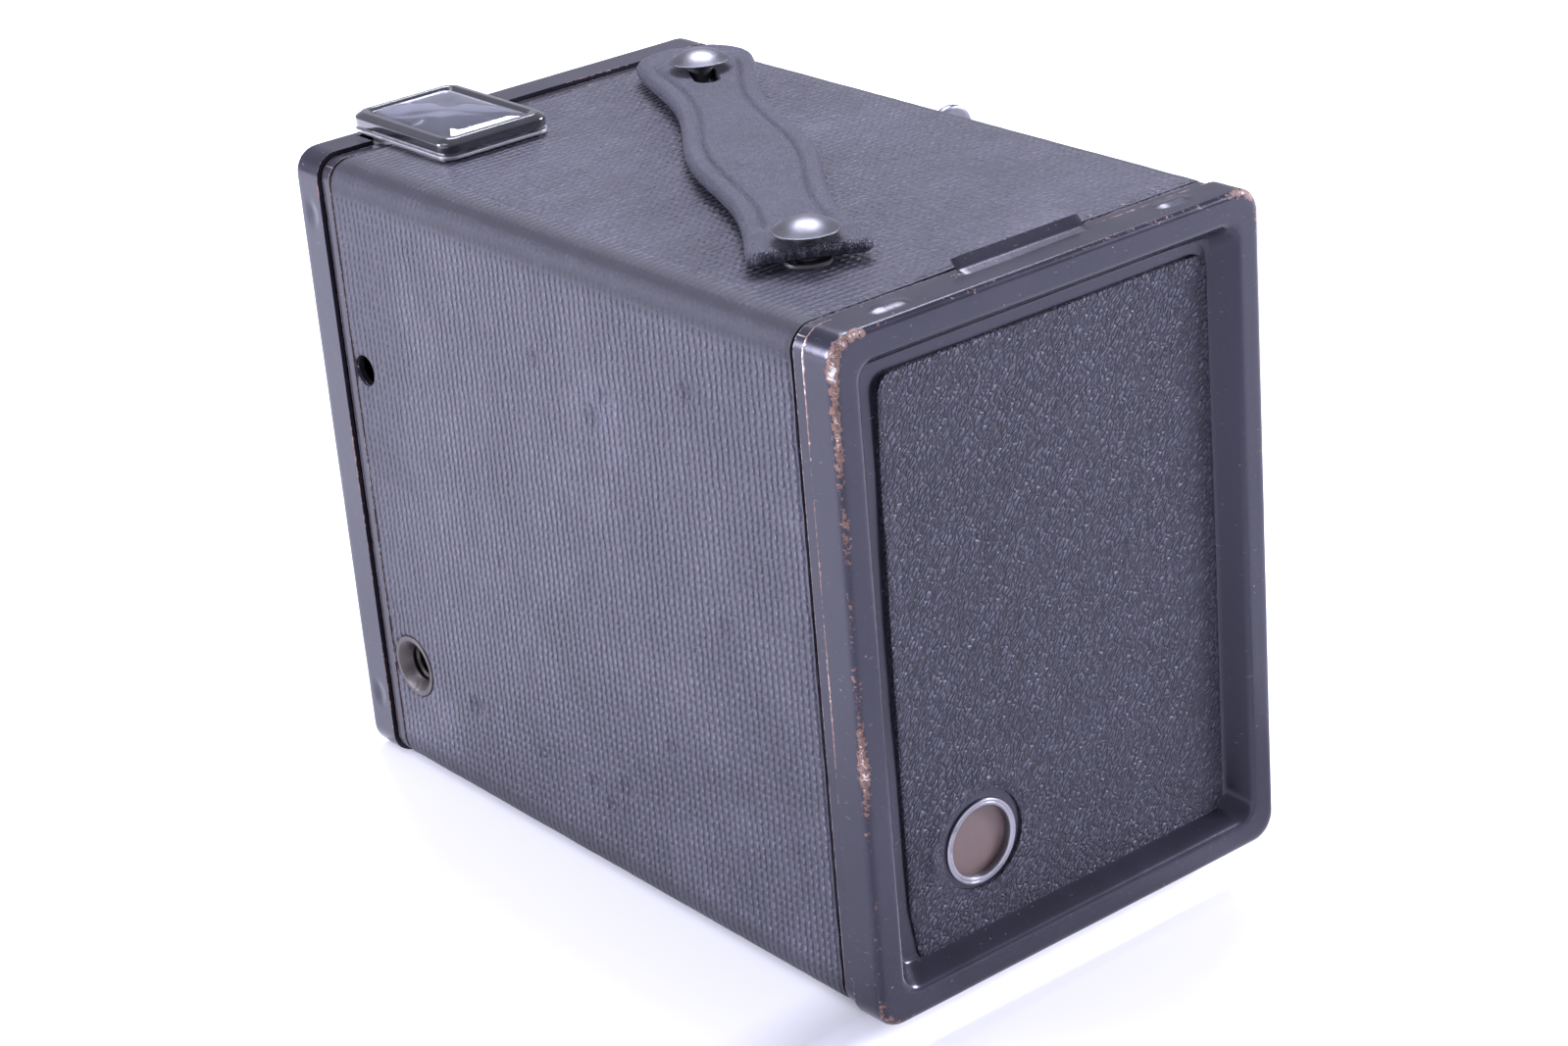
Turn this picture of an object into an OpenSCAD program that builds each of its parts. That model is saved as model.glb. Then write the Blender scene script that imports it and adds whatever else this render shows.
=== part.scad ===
// Roll-film box camera for 57 x 83 mm pictures.
// +Z is up, the lens looks along -Y, the rear door is at +Y.
// The side with the picture-sideways tripod socket is at +X, the winding key is at -X.
// The origin is the mouth of the bottom tripod socket, on the plane that the camera stands on.

/* [Body] */
// Width over the flanges of the cap and the door
body_w = 80.4; // [74:0.1:110]
// Height over the flanges of the cap and the door
body_h = 106; // [102:0.5:140]
// Depth from the front of the cap to the rear rim of the door
body_d = 133; // [125:0.5:170]
// Outer radius of the four long edges
edge_r = 4; // [2:0.5:6]
// Wall of the body tube
shell_t = 1; // [0.8:0.1:1.4]
// Sheet of the cap and the door
sheet_t = 0.7; // [0.5:0.05:1]
// Thickness of the leathercloth on the body
cover_t = 0.55; // [0.3:0.05:0.7]
// Gap between the body tube and the flanges that slip over it
slip_gap = 0.25; // [0.2:0.05:0.4]
// Width of the bare band between a flange and the leathercloth
bare_band = 3.2; // [2.5:0.1:5]
// Height of the rounded bead on the bare band
bead_h = 0.3; // [0.1:0.05:0.4]

/* [Front cap] */
// Depth of the cap's flange
cap_flange = 6.7; // [5:0.1:9]
// Width of the cap's flat rim
cap_rim = 4.6; // [3:0.1:6]
// Depth of the cap's recessed panel
cap_recess = 1.6; // [1:0.1:2.5]

/* [Rear door] */
// Depth of the door's flange
door_flange = 6.2; // [5:0.1:8]
// Width of the door's flat rim
door_rim = 4.6; // [3:0.1:6]
// Depth of the door's recessed panel
door_recess = 4.1; // [2:0.1:5]
// Run of the slope between the rim and the panel
bevel_run = 2.2; // [1:0.1:3]
// Width of the thumb lip on the top flange
lip_w = 23.5; // [15:0.5:35]
// Height of the thumb lip above the flange
lip_h = 1.8; // [1:0.1:3]
// Length of the door hinge
hinge_len = 66; // [40:1:70]
// Diameter of the hinge pin
hinge_pin_d = 1.2; // [1:0.1:1.4]
// Sheet rolled round the hinge pin
knuckle_t = 0.65; // [0.5:0.05:0.8]

/* [Film number window] */
// Centre of the window towards +X
window_x = 16.4; // [10:0.1:24]
// Height of the window's centre
window_z = 20.4; // [16:0.1:40]
// Clear diameter of the window
window_d = 11.1; // [8:0.1:14]
// Width of the metal ring's flange
window_flange = 1.1; // [0.8:0.1:2]

/* [Tripod sockets] */
// Distance of both sockets from the front of the cap
socket_back = 15.7; // [14:0.1:18]
// Height of the side socket
side_socket_z = 19.8; // [16:0.1:26]
// Outer diameter of the socket's flange
socket_flange_d = 10.6; // [10:0.1:13]
// Diameter of the countersink in the side socket
socket_lip_d = 8.9; // [7:0.1:9.4]
// Depth of the tripod thread
thread_depth = 6; // [5:0.5:7]
// Diameter of the assembly hole in the side
side_hole_d = 5.2; // [3:0.1:6]
// Distance of the assembly hole from the front of the cap
side_hole_back = 12.7; // [11:0.1:20]
// Height of the assembly hole
side_hole_z = 71.4; // [60:0.1:80]

/* [Lens and shutter] */
// Diameter of the lens
lens_d = 14; // [12:0.5:18]
// Thickness of the lens
lens_t = 2.4; // [2:0.1:4]
// Outer diameter of the lens ring's flange
lens_ring_d = 24; // [22:0.5:30]
// Spacing of the stops in the stop slide
stop_pitch = 11; // [10:0.5:12]
// Diameters of the stops in the stop slide
stop_d = [9.5, 6.8, 4.8];
// Radius of the shutter disc
disc_r = 21; // [20:0.5:22]
// Opening in the shutter disc
disc_hole_d = 12; // [10:0.5:12]
// Turn of the shutter disc for one exposure, in degrees
disc_turn = 100; // [100:1:110]
// Turn of the release lever for one exposure, in degrees
lever_turn = 25; // [15:1:30]

/* [Finders] */
// Width of a finder bezel
finder_w = 20.2; // [18:0.1:22]
// Length of a finder bezel
finder_l = 27.6; // [25:0.1:30]
// Centre of the top finder towards +X
finder_x = 18.2; // [16:0.1:22]
// Distance of the side finder's centre below the top
side_finder_drop = 30; // [22:0.5:31]
// Overhang of the bezel past the front of the cap
finder_overhang = 1; // [0:0.1:2]

/* [Strap] */
// Distance between the strap studs along the camera
stud_span_y = 79; // [70:0.5:85]
// Distance between the strap studs across the camera
stud_span_x = 42.9; // [20:0.5:45]
// Diameter of the domed stud heads
stud_head_d = 10; // [8:0.1:12]
// Height of the stud heads above the strap
stud_rise = 1.2; // [0.2:0.1:2]
// Diameter of the stud shanks
stud_shank_d = 3.6; // [3:0.1:4]
// Thickness of the strap
strap_t = 2.2; // [1.5:0.1:3]
// Mean half width of the strap
strap_half = 8.4; // [7:0.1:10]
// Swing of the strap's wavy edges
strap_wave = 1.2; // [0:0.1:2]

/* [Film and winding] */
// Flange diameter of the film spool
spool_flange_d = 25; // [25:0.1:25.4]
// Core diameter of the film spool
spool_core_d = 9.6; // [8:0.1:12]
// Length of the film spool
spool_len = 65; // [64:0.5:66]
// Width of the picture
frame_w = 57; // [55:0.5:58]
// Height of the picture
frame_h = 83; // [80:0.5:84]
// Distance of the spool axes from the front of the cap
spool_back = 57; // [55:0.5:62]
// Distance of the spool axes from the middle height
spool_off = 35; // [34:0.5:36]
// Diameter of the winding shaft
key_shaft_d = 4; // [3.5:0.1:5]
// Span of the winding key's wing
key_span = 27; // [18:0.5:28]
// Diameter of the film guide rollers
roller_d = 5; // [4:0.1:5]

/* [Hidden] */
$fn = 64;
hull_fn = 32;
run_gap = 0.08;
free_gap = 0.3;
cut = 1;

front_y = -socket_back;
rear_y = body_d - socket_back;
mid_y = (front_y + rear_y) / 2;
mid_z = body_h / 2;
lens_z = mid_z;

// Flanges, body tube and leathercloth: half widths, from outside to inside
flange_in = body_w / 2 - sheet_t;
shell_x = flange_in - slip_gap;
cover_x = shell_x + cover_t;
shell_in = shell_x - shell_t;
shell_r = edge_r - cover_t;
shell_z0 = sheet_t + slip_gap;
shell_z1 = body_h - shell_z0;
cover_z0 = shell_z0 - cover_t;
cover_z1 = shell_z1 + cover_t;
side_hole_y = front_y + side_hole_back;
floor_z = shell_z0 + shell_t;
roof_z = shell_z1 - shell_t;
shell_y0 = front_y + sheet_t;
fold_x = shell_x - shell_r;
fold_z0 = shell_z0 + shell_r;
fold_z1 = shell_z1 - shell_r;
fold_out = 2 * edge_r;
shell_y1 = rear_y - 2 * sheet_t - slip_gap;
cap_edge_y = front_y + cap_flange;
door_edge_y = rear_y - door_flange;
cover_y0 = cap_edge_y + bare_band;
cover_y1 = door_edge_y - bare_band;

// Cap panel and door panel
cap_face_y = front_y + cap_recess;
cap_back_y = cap_face_y + sheet_t;
door_face_y = rear_y - door_recess;
door_back_y = door_face_y - sheet_t;
panel_cover_t = 0.5;
cap_bevel = 1.4;

// Door hinge
knuckle_r = hinge_pin_d / 2 + knuckle_t;
hinge_z = knuckle_r;
hinge_y = door_edge_y - knuckle_r - slip_gap;
leaf_half = hinge_len / 6;
hinge_cut_half = hinge_len / 2 + 1;
snap_x = 26.6;

// Dimples and notches in the two flanges
cap_dimple_z = [11, body_h - 10];
cap_dimple_d = 3.6;
cap_dimple_back = 2.6;
notch_side = 2;
notch_back = 4.4;
bead_inset = 0.6;

// Tripod thread: 1/4 inch
thread_d = 6.35;
socket_wall = 0.3;
socket_ring_t = 0.8;
socket_lip_depth = 1.2;

// Front compartment, from front to back
lens_cell_d = lens_d + 4;
cell_back_y = cap_back_y + 6.3;
stop_y = cell_back_y + 1.2;
stop_t = 0.6;
disc_y = stop_y + 2.2;
disc_t = 0.4;
lever_y = disc_y + 1;
lever_t = 0.6;
board_y = lever_y + lever_t + 0.2;
board_t = 1;
disc_x = 10;
disc_z = lens_z - 9;
disc_arm = norm([disc_x, lens_z - disc_z]);
lens_angle = atan2(lens_z - disc_z, -disc_x);
lever_x = -20;
lever_z = lens_z - 23;
lever_reach = body_w / 2 + 4.5 + lever_x;
lever_arm_half = 2;
lever_swing = (body_w / 2 + lever_x) * tan(lever_turn / 2) + lever_arm_half + 1;
tab_out = 3.6;
stop_tab_h = 8;
stop_half = 8;
time_z = lens_z - 37;
time_h = 5;
guide_x0 = -shell_in;
guide_x1 = guide_x0 + 5.5;
rivet_d = 3;
rivet_head_d = 5;
rivet_head_t = 0.6;
rail_half = 0.75;
rail_front = 0.6;

// Finders: local frame has Z out of the camera, Y to the rear, Z = 0 on the cap's flange
side_finder_z = body_h - side_finder_drop;
finder_y = front_y - finder_overhang + finder_l / 2;
bezel_z0 = 1;
bezel_h = 1.4;
bezel_rise = 0.8;
glass_rise = 2.2;
finder_wall = 0.6;
finder_depth = 22;
neck_w = finder_w - 2;
notch_half = neck_w / 2 + notch_side;
neck_y0 = cap_back_y + 1.5;
neck_y1 = finder_y + finder_l / 2 - 2.2;
glass_w = finder_w - 4.8;
glass_l = finder_l - 4;
eye_w = 12;
eye_drop = 14.5;

// Strap: u runs along the strap from the middle of the studs, v across it
stud_half = norm([stud_span_x, stud_span_y]) / 2;
strap_turn = atan2(stud_span_y, stud_span_x);
strap_z0 = cover_z1 + 1.3;
strap_shift = 1.5;
strap_front = -stud_half - 14;
strap_rear = stud_half + 3.6;
strap_period = 54;
strap_steps = 36;
slot_half = stud_shank_d / 2 + 0.4;
stud_head_z = strap_z0 + strap_t + stud_rise;
stud_dome_h = 1.9;
stud_foot_d = stud_head_d - 3;
stud_foot_t = 0.7;
washer_d = 8;
washer_t = 0.8;
slot_play = 0.5;
slot_front_run = 9;
slot_rear_run = 6;

// Film carrier and winding
carrier_x1 = spool_len / 2 + 1.5;
plate_t = 1;
carrier_x0 = carrier_x1 - plate_t;
carrier_y0 = neck_y1 + 1.2;
gate_y = door_back_y - 4.6;
carrier_y1 = gate_y + 2.5;
carrier_z1 = roof_z - free_gap;
bulkhead_z1 = roof_z - 2.6;
cone_half = 8;
cone_wall = 0.8;
cone_y0 = carrier_y0 + plate_t;
gate_h = frame_h + 2.4;
spool_y = front_y + spool_back;
spool_z = mid_z + spool_off;
supply_z = mid_z - spool_off;
spool_flange_t = 1.2;
spool_pin_d = 4.8;
spool_pin_len = 5.5;
spool_slot_w = 2;
spool_slot_l = 7.4;
spool_slot_d = 3.5;
blade_t = spool_slot_w - 2 * 0.25;
blade_w = spool_slot_l - 2 * 0.5;
blade_in = 2.5;
roller_pin_d = 2;
roller_z = gate_h / 2 + roller_d / 2 + 2;
roller_half = carrier_x0 - 1;
plate_out_t = 1;
key_boss_d = 7;
collar_t = 1;
collar_x = cover_x + plate_out_t + 0.8;
hub_x = collar_x + collar_t + 0.2;
hub_t = 2.6;
wing_t = 1.8;
wing_w = 9;
wing_r = 4.4;

// ---------- Building blocks ----------

module rounded_rect(w, h, r) {
    square([w - 2 * r, h], center = true);
    square([w, h - 2 * r], center = true);
    for (sx = [-1, 1], sz = [-1, 1])
        translate([sx * (w / 2 - r), sz * (h / 2 - r)])
            circle(r);
}

// Rounded block of half width hx between two heights, running from y0 to y1
module slab(hx, z0, z1, r, y0, y1) {
    translate([0, y1, (z0 + z1) / 2])
        rotate([90, 0, 0])
            linear_extrude(y1 - y0)
                rounded_rect(2 * hx, z1 - z0, r);
}

module rod_y(x, z, d, y0, y1) {
    translate([x, y1, z])
        rotate([90, 0, 0])
            cylinder(d = d, h = y1 - y0);
}

module rod_x(y, z, d, x0, x1) {
    translate([x0, y, z])
        rotate([0, 90, 0])
            cylinder(d = d, h = x1 - x0);
}

module rod_z(x, y, d, z0, z1) {
    translate([x, y, z0])
        cylinder(d = d, h = z1 - z0);
}

module block(x0, x1, y0, y1, z0, z1) {
    translate([x0, y0, z0])
        cube([x1 - x0, y1 - y0, z1 - z0]);
}

// ---------- Body tube and its leathercloth ----------

module body_tube(grow, y0, y1, r) {
    slab(shell_x + grow, shell_z0 - grow, shell_z1 + grow, r, y0, y1);
}

// Everything that passes through the walls of the tube and the cloth
module wall_openings() {
    rod_x(side_hole_y, side_hole_z, side_hole_d, shell_in - cut, cover_x + cut);
    rod_x(spool_y, spool_z, key_boss_d, -cover_x - cut, -shell_in + cut);
    for (side = [-1, 1])
        rod_z(side * stud_span_x / 2, mid_y + side * stud_span_y / 2, stud_shank_d,
              roof_z - cut, cover_z1 + cut);
    block(finder_x - neck_w / 2, finder_x + neck_w / 2, neck_y0, neck_y1, roof_z - cut, cover_z1 + cut);
    block(-cover_x - cut, -shell_in + cut, neck_y0, neck_y1,
          side_finder_z - neck_w / 2, side_finder_z + neck_w / 2);
    block(-cover_x - cut, -shell_in + cut, stop_y - free_gap, stop_y + stop_t + free_gap,
          lens_z - stop_tab_h / 2 - free_gap, lens_z + stop_tab_h / 2 + free_gap);
    block(-cover_x - cut, -shell_in + cut, lever_y - free_gap, lever_y + lever_t + free_gap,
          time_z - time_h / 2 - free_gap, time_z + time_h / 2 + free_gap);
    block(-cover_x - cut, -shell_in + cut, lever_y - free_gap, lever_y + lever_t + free_gap,
          lever_z - lever_swing, lever_z + lever_swing);
}

// Tube of folded sheet, in four walls that meet in the middle of its rounded corners
module folded_tube() {
    difference() {
        union() {
            body_tube(0, shell_y0, shell_y1, shell_r);
            body_tube(bead_h, cap_edge_y + bead_inset, cover_y0 - bead_inset, shell_r);
            body_tube(bead_h, cover_y1 + bead_inset, door_edge_y - bead_inset, shell_r);
        }
        slab(shell_in, floor_z, roof_z, shell_r - shell_t, shell_y0 - cut, shell_y1 + cut);
        wall_openings();
        rod_x(0, side_socket_z, socket_lip_d + 2 * socket_wall, shell_in - cut, shell_x + cut);
        rod_z(0, 0, socket_lip_d + 2 * socket_wall, shell_z0 - cut, floor_z + cut);
        block(-hinge_cut_half, hinge_cut_half, cover_y1, shell_y1 + cut, -cut, floor_z + cut);
    }
}

// The part of the tube inside an outline drawn in x and z
module shell_wall(outline) {
    color([0.10, 0.10, 0.12])
    intersection() {
        folded_tube();
        translate([0, rear_y, 0])
            rotate([90, 0, 0])
                linear_extrude(body_d)
                    polygon(outline);
    }
}

// Side wall at +X or -X
module shell_side(side) {
    shell_wall([[side * fold_x, fold_z1], [side * (fold_x + fold_out), fold_z1 + fold_out],
                [side * (fold_x + fold_out), fold_z0 - fold_out], [side * fold_x, fold_z0]]);
}

module shell_socket_side() {
    shell_side(1);
}

module shell_key_side() {
    shell_side(-1);
}

module shell_top() {
    shell_wall([[-fold_x, fold_z1], [-fold_x - fold_out, fold_z1 + fold_out],
                [fold_x + fold_out, fold_z1 + fold_out], [fold_x, fold_z1]]);
}

module shell_bottom() {
    shell_wall([[-fold_x, fold_z0], [-fold_x - fold_out, fold_z0 - fold_out],
                [fold_x + fold_out, fold_z0 - fold_out], [fold_x, fold_z0]]);
}

module body_covering() {
    color([0.14, 0.14, 0.16])
    difference() {
        body_tube(cover_t, cover_y0, cover_y1, edge_r);
        body_tube(0, cover_y0 - cut, cover_y1 + cut, shell_r);
        wall_openings();
        rod_x(0, side_socket_z, socket_flange_d + 0.2, shell_x - cut, cover_x + cut);
        rod_z(0, 0, socket_flange_d + 0.2, -cut, shell_z0 + cut);
    }
}

// ---------- Pressed pans: the front cap and the rear door ----------

// Recess of a pan: full size at the rim plane, smaller at the panel; grow adds metal round it
module recess(rim, depth, run, back, front, grow) {
    hx = body_w / 2 - rim;
    hull($fn = hull_fn) {
        slab(hx + grow, rim - grow, body_h - rim + grow, edge_r + grow, -sheet_t / 2, front, $fn = hull_fn);
        slab(hx - run + grow, rim + run - grow, body_h - rim - run + grow, edge_r - 1 + grow,
             -depth - back, -depth - back + 0.1, $fn = hull_fn);
    }
}

// Pan whose rim lies on the plane y = 0 and whose flange runs towards -y
module pan(flange, rim, depth, run) {
    difference() {
        union() {
            difference() {
                slab(body_w / 2, 0, body_h, edge_r, -flange, 0);
                slab(flange_in, sheet_t, body_h - sheet_t, edge_r - sheet_t, -flange - cut, -sheet_t);
            }
            recess(rim, depth, run, sheet_t, 0, sheet_t);
        }
        recess(rim, depth, run, 0, 0.01, 0);
    }
}

module front_cap() {
    color([0.09, 0.09, 0.11])
    difference() {
        union() {
            translate([0, front_y, 0])
                mirror([0, 1, 0])
                    pan(cap_flange, cap_rim, cap_recess, cap_bevel);
            for (side = [-1, 1], z = cap_dimple_z)
                cap_dimple(side, z);
        }
        rod_y(0, lens_z, lens_cell_d, front_y - cut, cap_back_y + cut);
        finder_eyes(front_y - cut, cap_back_y + cut, 0);
        block(finder_x - notch_half, finder_x + notch_half, cap_edge_y - notch_back, cap_edge_y + cut,
              body_h - sheet_t - cut, body_h + cut);
        block(-body_w / 2 - cut, -flange_in + cut, cap_edge_y - notch_back, cap_edge_y + cut,
              side_finder_z - notch_half, side_finder_z + notch_half);
    }
}

// Dimple that grips the body tube inside the cap's side flange
module cap_dimple(side, z) {
    x0 = side > 0 ? shell_x : -flange_in;
    x1 = side > 0 ? flange_in : -shell_x;
    rod_x(cap_edge_y - cap_dimple_back, z, cap_dimple_d, x0, x1);
}

module front_covering() {
    inset = cap_rim + cap_bevel + 0.6;
    color([0.14, 0.14, 0.16])
    difference() {
        slab(body_w / 2 - inset, inset, body_h - inset, 2.5, cap_face_y - panel_cover_t, cap_face_y);
        rod_y(0, lens_z, lens_cell_d, cap_face_y - cut, cap_face_y + cut);
        finder_eyes(cap_face_y - cut, cap_face_y + cut, 1.2);
    }
}

module rear_door() {
    color([0.09, 0.09, 0.11])
    difference() {
        union() {
            translate([0, rear_y, 0])
                pan(door_flange, door_rim, door_recess, bevel_run);
            thumb_lip();
            for (side = [-1, 1])
                snap_dimple(side * snap_x);
            door_knuckles();
        }
        rod_y(window_x, window_z, window_d + 0.5, door_back_y - cut, door_face_y + cut);
        rod_x(hinge_y, hinge_z, hinge_pin_d + 2 * run_gap, -hinge_len, hinge_len);
    }
}

// Round-topped dimple pressed up in the door's top flange
module snap_dimple(x) {
    dimple_r = 2;
    dimple_out = 0.4;
    difference() {
        translate([x, door_edge_y + 1.7, body_h - dimple_r + dimple_out])
            sphere(r = dimple_r);
        block(x - dimple_r, x + dimple_r, door_edge_y - cut, rear_y, body_h - 3 * dimple_r, body_h - sheet_t);
    }
}

// Lip curled up from the middle of the door's top flange
module thumb_lip() {
    reach = 2.2;
    translate([-lip_w / 2, door_edge_y, body_h])
        rotate([90, 0, 90])
            linear_extrude(lip_w)
                polygon([[2.8, -sheet_t], [2.8, 0], [0, lip_h * 0.45], [-reach, lip_h],
                         [-reach, lip_h - sheet_t], [0, 0.1 - sheet_t / 2], [0.4, -sheet_t]]);
}

module door_knuckles() {
    for (side = [-1, 1]) {
        x0 = side > 0 ? leaf_half + free_gap : -hinge_len / 2;
        x1 = side > 0 ? hinge_len / 2 : -leaf_half - free_gap;
        rod_x(hinge_y, hinge_z, 2 * knuckle_r, x0, x1);
        block(x0, x1, hinge_y, door_edge_y + sheet_t, 0, sheet_t);
    }
}

module hinge_leaf() {
    color("dimgray")
    difference() {
        union() {
            rod_x(hinge_y, hinge_z, 2 * knuckle_r, -leaf_half, leaf_half);
            block(-leaf_half, leaf_half, cover_y1 - 9, hinge_y, floor_z, 2 * knuckle_r);
        }
        rod_x(hinge_y, hinge_z, hinge_pin_d, -leaf_half - cut, leaf_half + cut);
    }
}

module hinge_pin() {
    color("silver")
        rod_x(hinge_y, hinge_z, hinge_pin_d, -hinge_len / 2, hinge_len / 2);
}

module door_covering() {
    inset = door_rim + bevel_run + 0.6;
    hx = body_w / 2 - inset - 0.4;
    hole_d = window_d + 2 * window_flange + 2.3;
    color([0.13, 0.13, 0.15])
    difference() {
        slab(hx, inset, body_h - inset - 1, 2.5, door_face_y, door_face_y + panel_cover_t);
        rod_y(window_x, window_z + 0.4, hole_d, door_face_y - cut, door_face_y + cut);
    }
}

module window_ring() {
    color("gainsboro")
    difference() {
        union() {
            rod_y(window_x, window_z, window_d + 2 * window_flange, door_face_y, door_face_y + 0.4);
            rod_y(window_x, window_z, window_d + 0.5, door_back_y - 0.6, door_face_y + 0.2);
        }
        rod_y(window_x, window_z, window_d, door_back_y - cut, door_face_y + cut);
    }
}

module red_window() {
    color([0.35, 0.12, 0.08])
        rod_y(window_x, window_z, window_d, door_back_y - 0.4, door_face_y - 0.4);
}

module window_washer() {
    color("dimgray")
    difference() {
        rod_y(window_x, window_z, window_d + 3, door_back_y - 0.5, door_back_y);
        rod_y(window_x, window_z, window_d + 0.5, door_back_y - cut, door_back_y + cut);
    }
}

// ---------- Lens ----------

module lens_ring() {
    color("silver")
    difference() {
        union() {
            rod_y(0, lens_z, lens_ring_d, cap_face_y - panel_cover_t - 1, cap_face_y - panel_cover_t);
            rod_y(0, lens_z, lens_cell_d, cap_face_y - panel_cover_t - 1, cell_back_y);
        }
        rod_y(0, lens_z, lens_d - 2, front_y - 2, cell_back_y + cut);
        rod_y(0, lens_z, lens_d, cap_back_y, cell_back_y + cut);
    }
}

module lens() {
    color([0.75, 0.85, 0.9, 0.5])
        rod_y(0, lens_z, lens_d, cap_back_y, cap_back_y + lens_t);
}

module lens_retainer() {
    color("black")
    difference() {
        rod_y(0, lens_z, lens_d, cap_back_y + lens_t, cap_back_y + lens_t + 1.4);
        rod_y(0, lens_z, lens_d - 3, cap_back_y, cell_back_y + cut);
    }
}

// ---------- Shutter, stops and their controls ----------

module shutter_board() {
    color([0.2, 0.2, 0.22])
    difference() {
        slab(shell_in, floor_z, roof_z, shell_r - shell_t, board_y, board_y + board_t);
        rod_y(0, lens_z, disc_hole_d, board_y - cut, board_y + board_t + cut);
        rod_y(disc_x, disc_z, rivet_d, board_y - cut, board_y + board_t + cut);
        rod_y(lever_x, lever_z, rivet_d, board_y - cut, board_y + board_t + cut);
        block(shell_x - thread_depth - 3, shell_x, board_y - cut, board_y + board_t + cut,
              side_socket_z - socket_flange_d / 2 - 1, side_socket_z + socket_flange_d / 2 + 1);
        block(-socket_flange_d / 2 - 1, socket_flange_d / 2 + 1, board_y - cut, board_y + board_t + cut,
              0, thread_depth + 3);
        block(finder_x - neck_w / 2, finder_x + neck_w / 2, board_y - cut, board_y + board_t + cut,
              body_h - finder_depth, body_h);
        block(-body_w / 2, -body_w / 2 + finder_depth, board_y - cut, board_y + board_t + cut,
              side_finder_z - neck_w / 2, side_finder_z + neck_w / 2);
    }
}

// Rails on the board that carry the tabs of the two slides
module slide_guides() {
    color("gray") {
        for (side = [-1, 1]) {
            translate([0, 0, lens_z + side * (stop_tab_h / 2 + free_gap + rail_half)])
                block(guide_x0, guide_x1, stop_y - rail_front, board_y, -rail_half, rail_half);
            translate([0, 0, time_z + side * (time_h / 2 + free_gap + rail_half)])
                block(guide_x0, guide_x1, lever_y - rail_front, board_y, -rail_half, rail_half);
        }
    }
}

module rivet(x, z, head_y) {
    rod_y(x, z, rivet_head_d, head_y - rivet_head_t, head_y);
    rod_y(x, z, rivet_d, head_y - 0.1, board_y + board_t);
    rod_y(x, z, rivet_head_d, board_y + board_t, board_y + board_t + rivet_head_t);
}

module shutter_pivot() {
    color("silver")
        rivet(disc_x, disc_z, disc_y - free_gap);
}

module lever_pivot() {
    color("silver")
        rivet(lever_x, lever_z, lever_y - free_gap);
}

module shutter_disc() {
    color([0.25, 0.25, 0.27])
    difference() {
        rod_y(disc_x, disc_z, 2 * disc_r, disc_y, disc_y + disc_t);
        rod_y(disc_x, disc_z, rivet_d + 2 * run_gap, disc_y - cut, disc_y + cut);
        translate([disc_x, 0, disc_z])
            rotate([0, -(lens_angle - disc_turn / 2), 0])
                rod_y(disc_arm, 0, disc_hole_d, disc_y - cut, disc_y + cut);
    }
}

module release_lever() {
    tab_grip = 0.8;
    tab_front = 3;
    tab_back = 4;
    color("silver")
    translate([lever_x, 0, lever_z])
        rotate([0, lever_turn / 2, 0])
            difference() {
                union() {
                    rod_y(0, 0, 8, lever_y, lever_y + lever_t);
                    block(-lever_reach, 0, lever_y, lever_y + lever_t, -lever_arm_half, lever_arm_half);
                    block(0, 9, lever_y, lever_y + lever_t, -1.2, 1.2);
                    block(-lever_reach - tab_grip, -lever_reach + tab_grip, lever_y - tab_front,
                          lever_y + tab_back, -lever_arm_half - tab_grip, lever_arm_half + tab_grip);
                }
                rod_y(0, 0, rivet_d + 2 * run_gap, lever_y - cut, lever_y + cut);
            }
}

// Hairpin spring below the disc: an eye round its post, and two legs
module shutter_spring() {
    wire = 0.6;
    eye = 3;
    post_x = -2;
    post_z = lens_z - 36;
    color("goldenrod") {
        rod_y(post_x, post_z, eye - wire, lever_y - 1, board_y);
        translate([post_x, board_y - 1.2, post_z])
            rotate([90, 0, 0])
                rotate_extrude()
                    translate([eye / 2, 0])
                        circle(d = wire);
        for (lean = [35, 115])
            translate([post_x, board_y - 1.2, post_z])
                rotate([0, -lean, 0])
                    translate([1, 0, -eye / 2])
                        rotate([0, 90, 0])
                            cylinder(d = wire, h = 4.5);
    }
}

module stop_slide() {
    color("silver")
    difference() {
        union() {
            block(-stop_half, 2 * stop_pitch + 6, stop_y, stop_y + stop_t,
                  lens_z - stop_half, lens_z + stop_half);
            block(-cover_x - tab_out, -stop_half, stop_y, stop_y + stop_t,
                  lens_z - stop_tab_h / 2, lens_z + stop_tab_h / 2);
        }
        for (i = [0 : len(stop_d) - 1])
            rod_y(i * stop_pitch, lens_z, stop_d[i], stop_y - cut, stop_y + cut);
    }
}

module time_slide() {
    color("silver")
        block(-cover_x - tab_out, -shell_in + 10, lever_y, lever_y + lever_t,
              time_z - time_h / 2, time_z + time_h / 2);
}

// ---------- Finders ----------

module on_top() {
    translate([finder_x, 0, body_h])
        children();
}

module on_side() {
    translate([-body_w / 2, 0, side_finder_z])
        rotate([0, -90, 0])
            children();
}

// Plate with rounded corners between two heights, centred on the finder
module finder_plate(w, l, r, z0, z1) {
    translate([0, finder_y, z0])
        linear_extrude(z1 - z0)
            rounded_rect(w, l, r);
}

module finder_housing() {
    difference() {
        union() {
            finder_plate(finder_w, finder_l, 2.2, 0, 0.5);
            block(-neck_w / 2, neck_w / 2, neck_y0, neck_y1, -finder_depth, bezel_z0);
        }
        block(-neck_w / 2 + finder_wall, neck_w / 2 - finder_wall, neck_y0 + finder_wall,
              neck_y1 - finder_wall, -finder_depth + finder_wall, bezel_z0 + cut);
        block(-eye_w / 2, eye_w / 2, neck_y0 - cut, neck_y0 + finder_wall + cut,
              -eye_drop - eye_w / 2, -eye_drop + eye_w / 2);
    }
}

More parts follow.
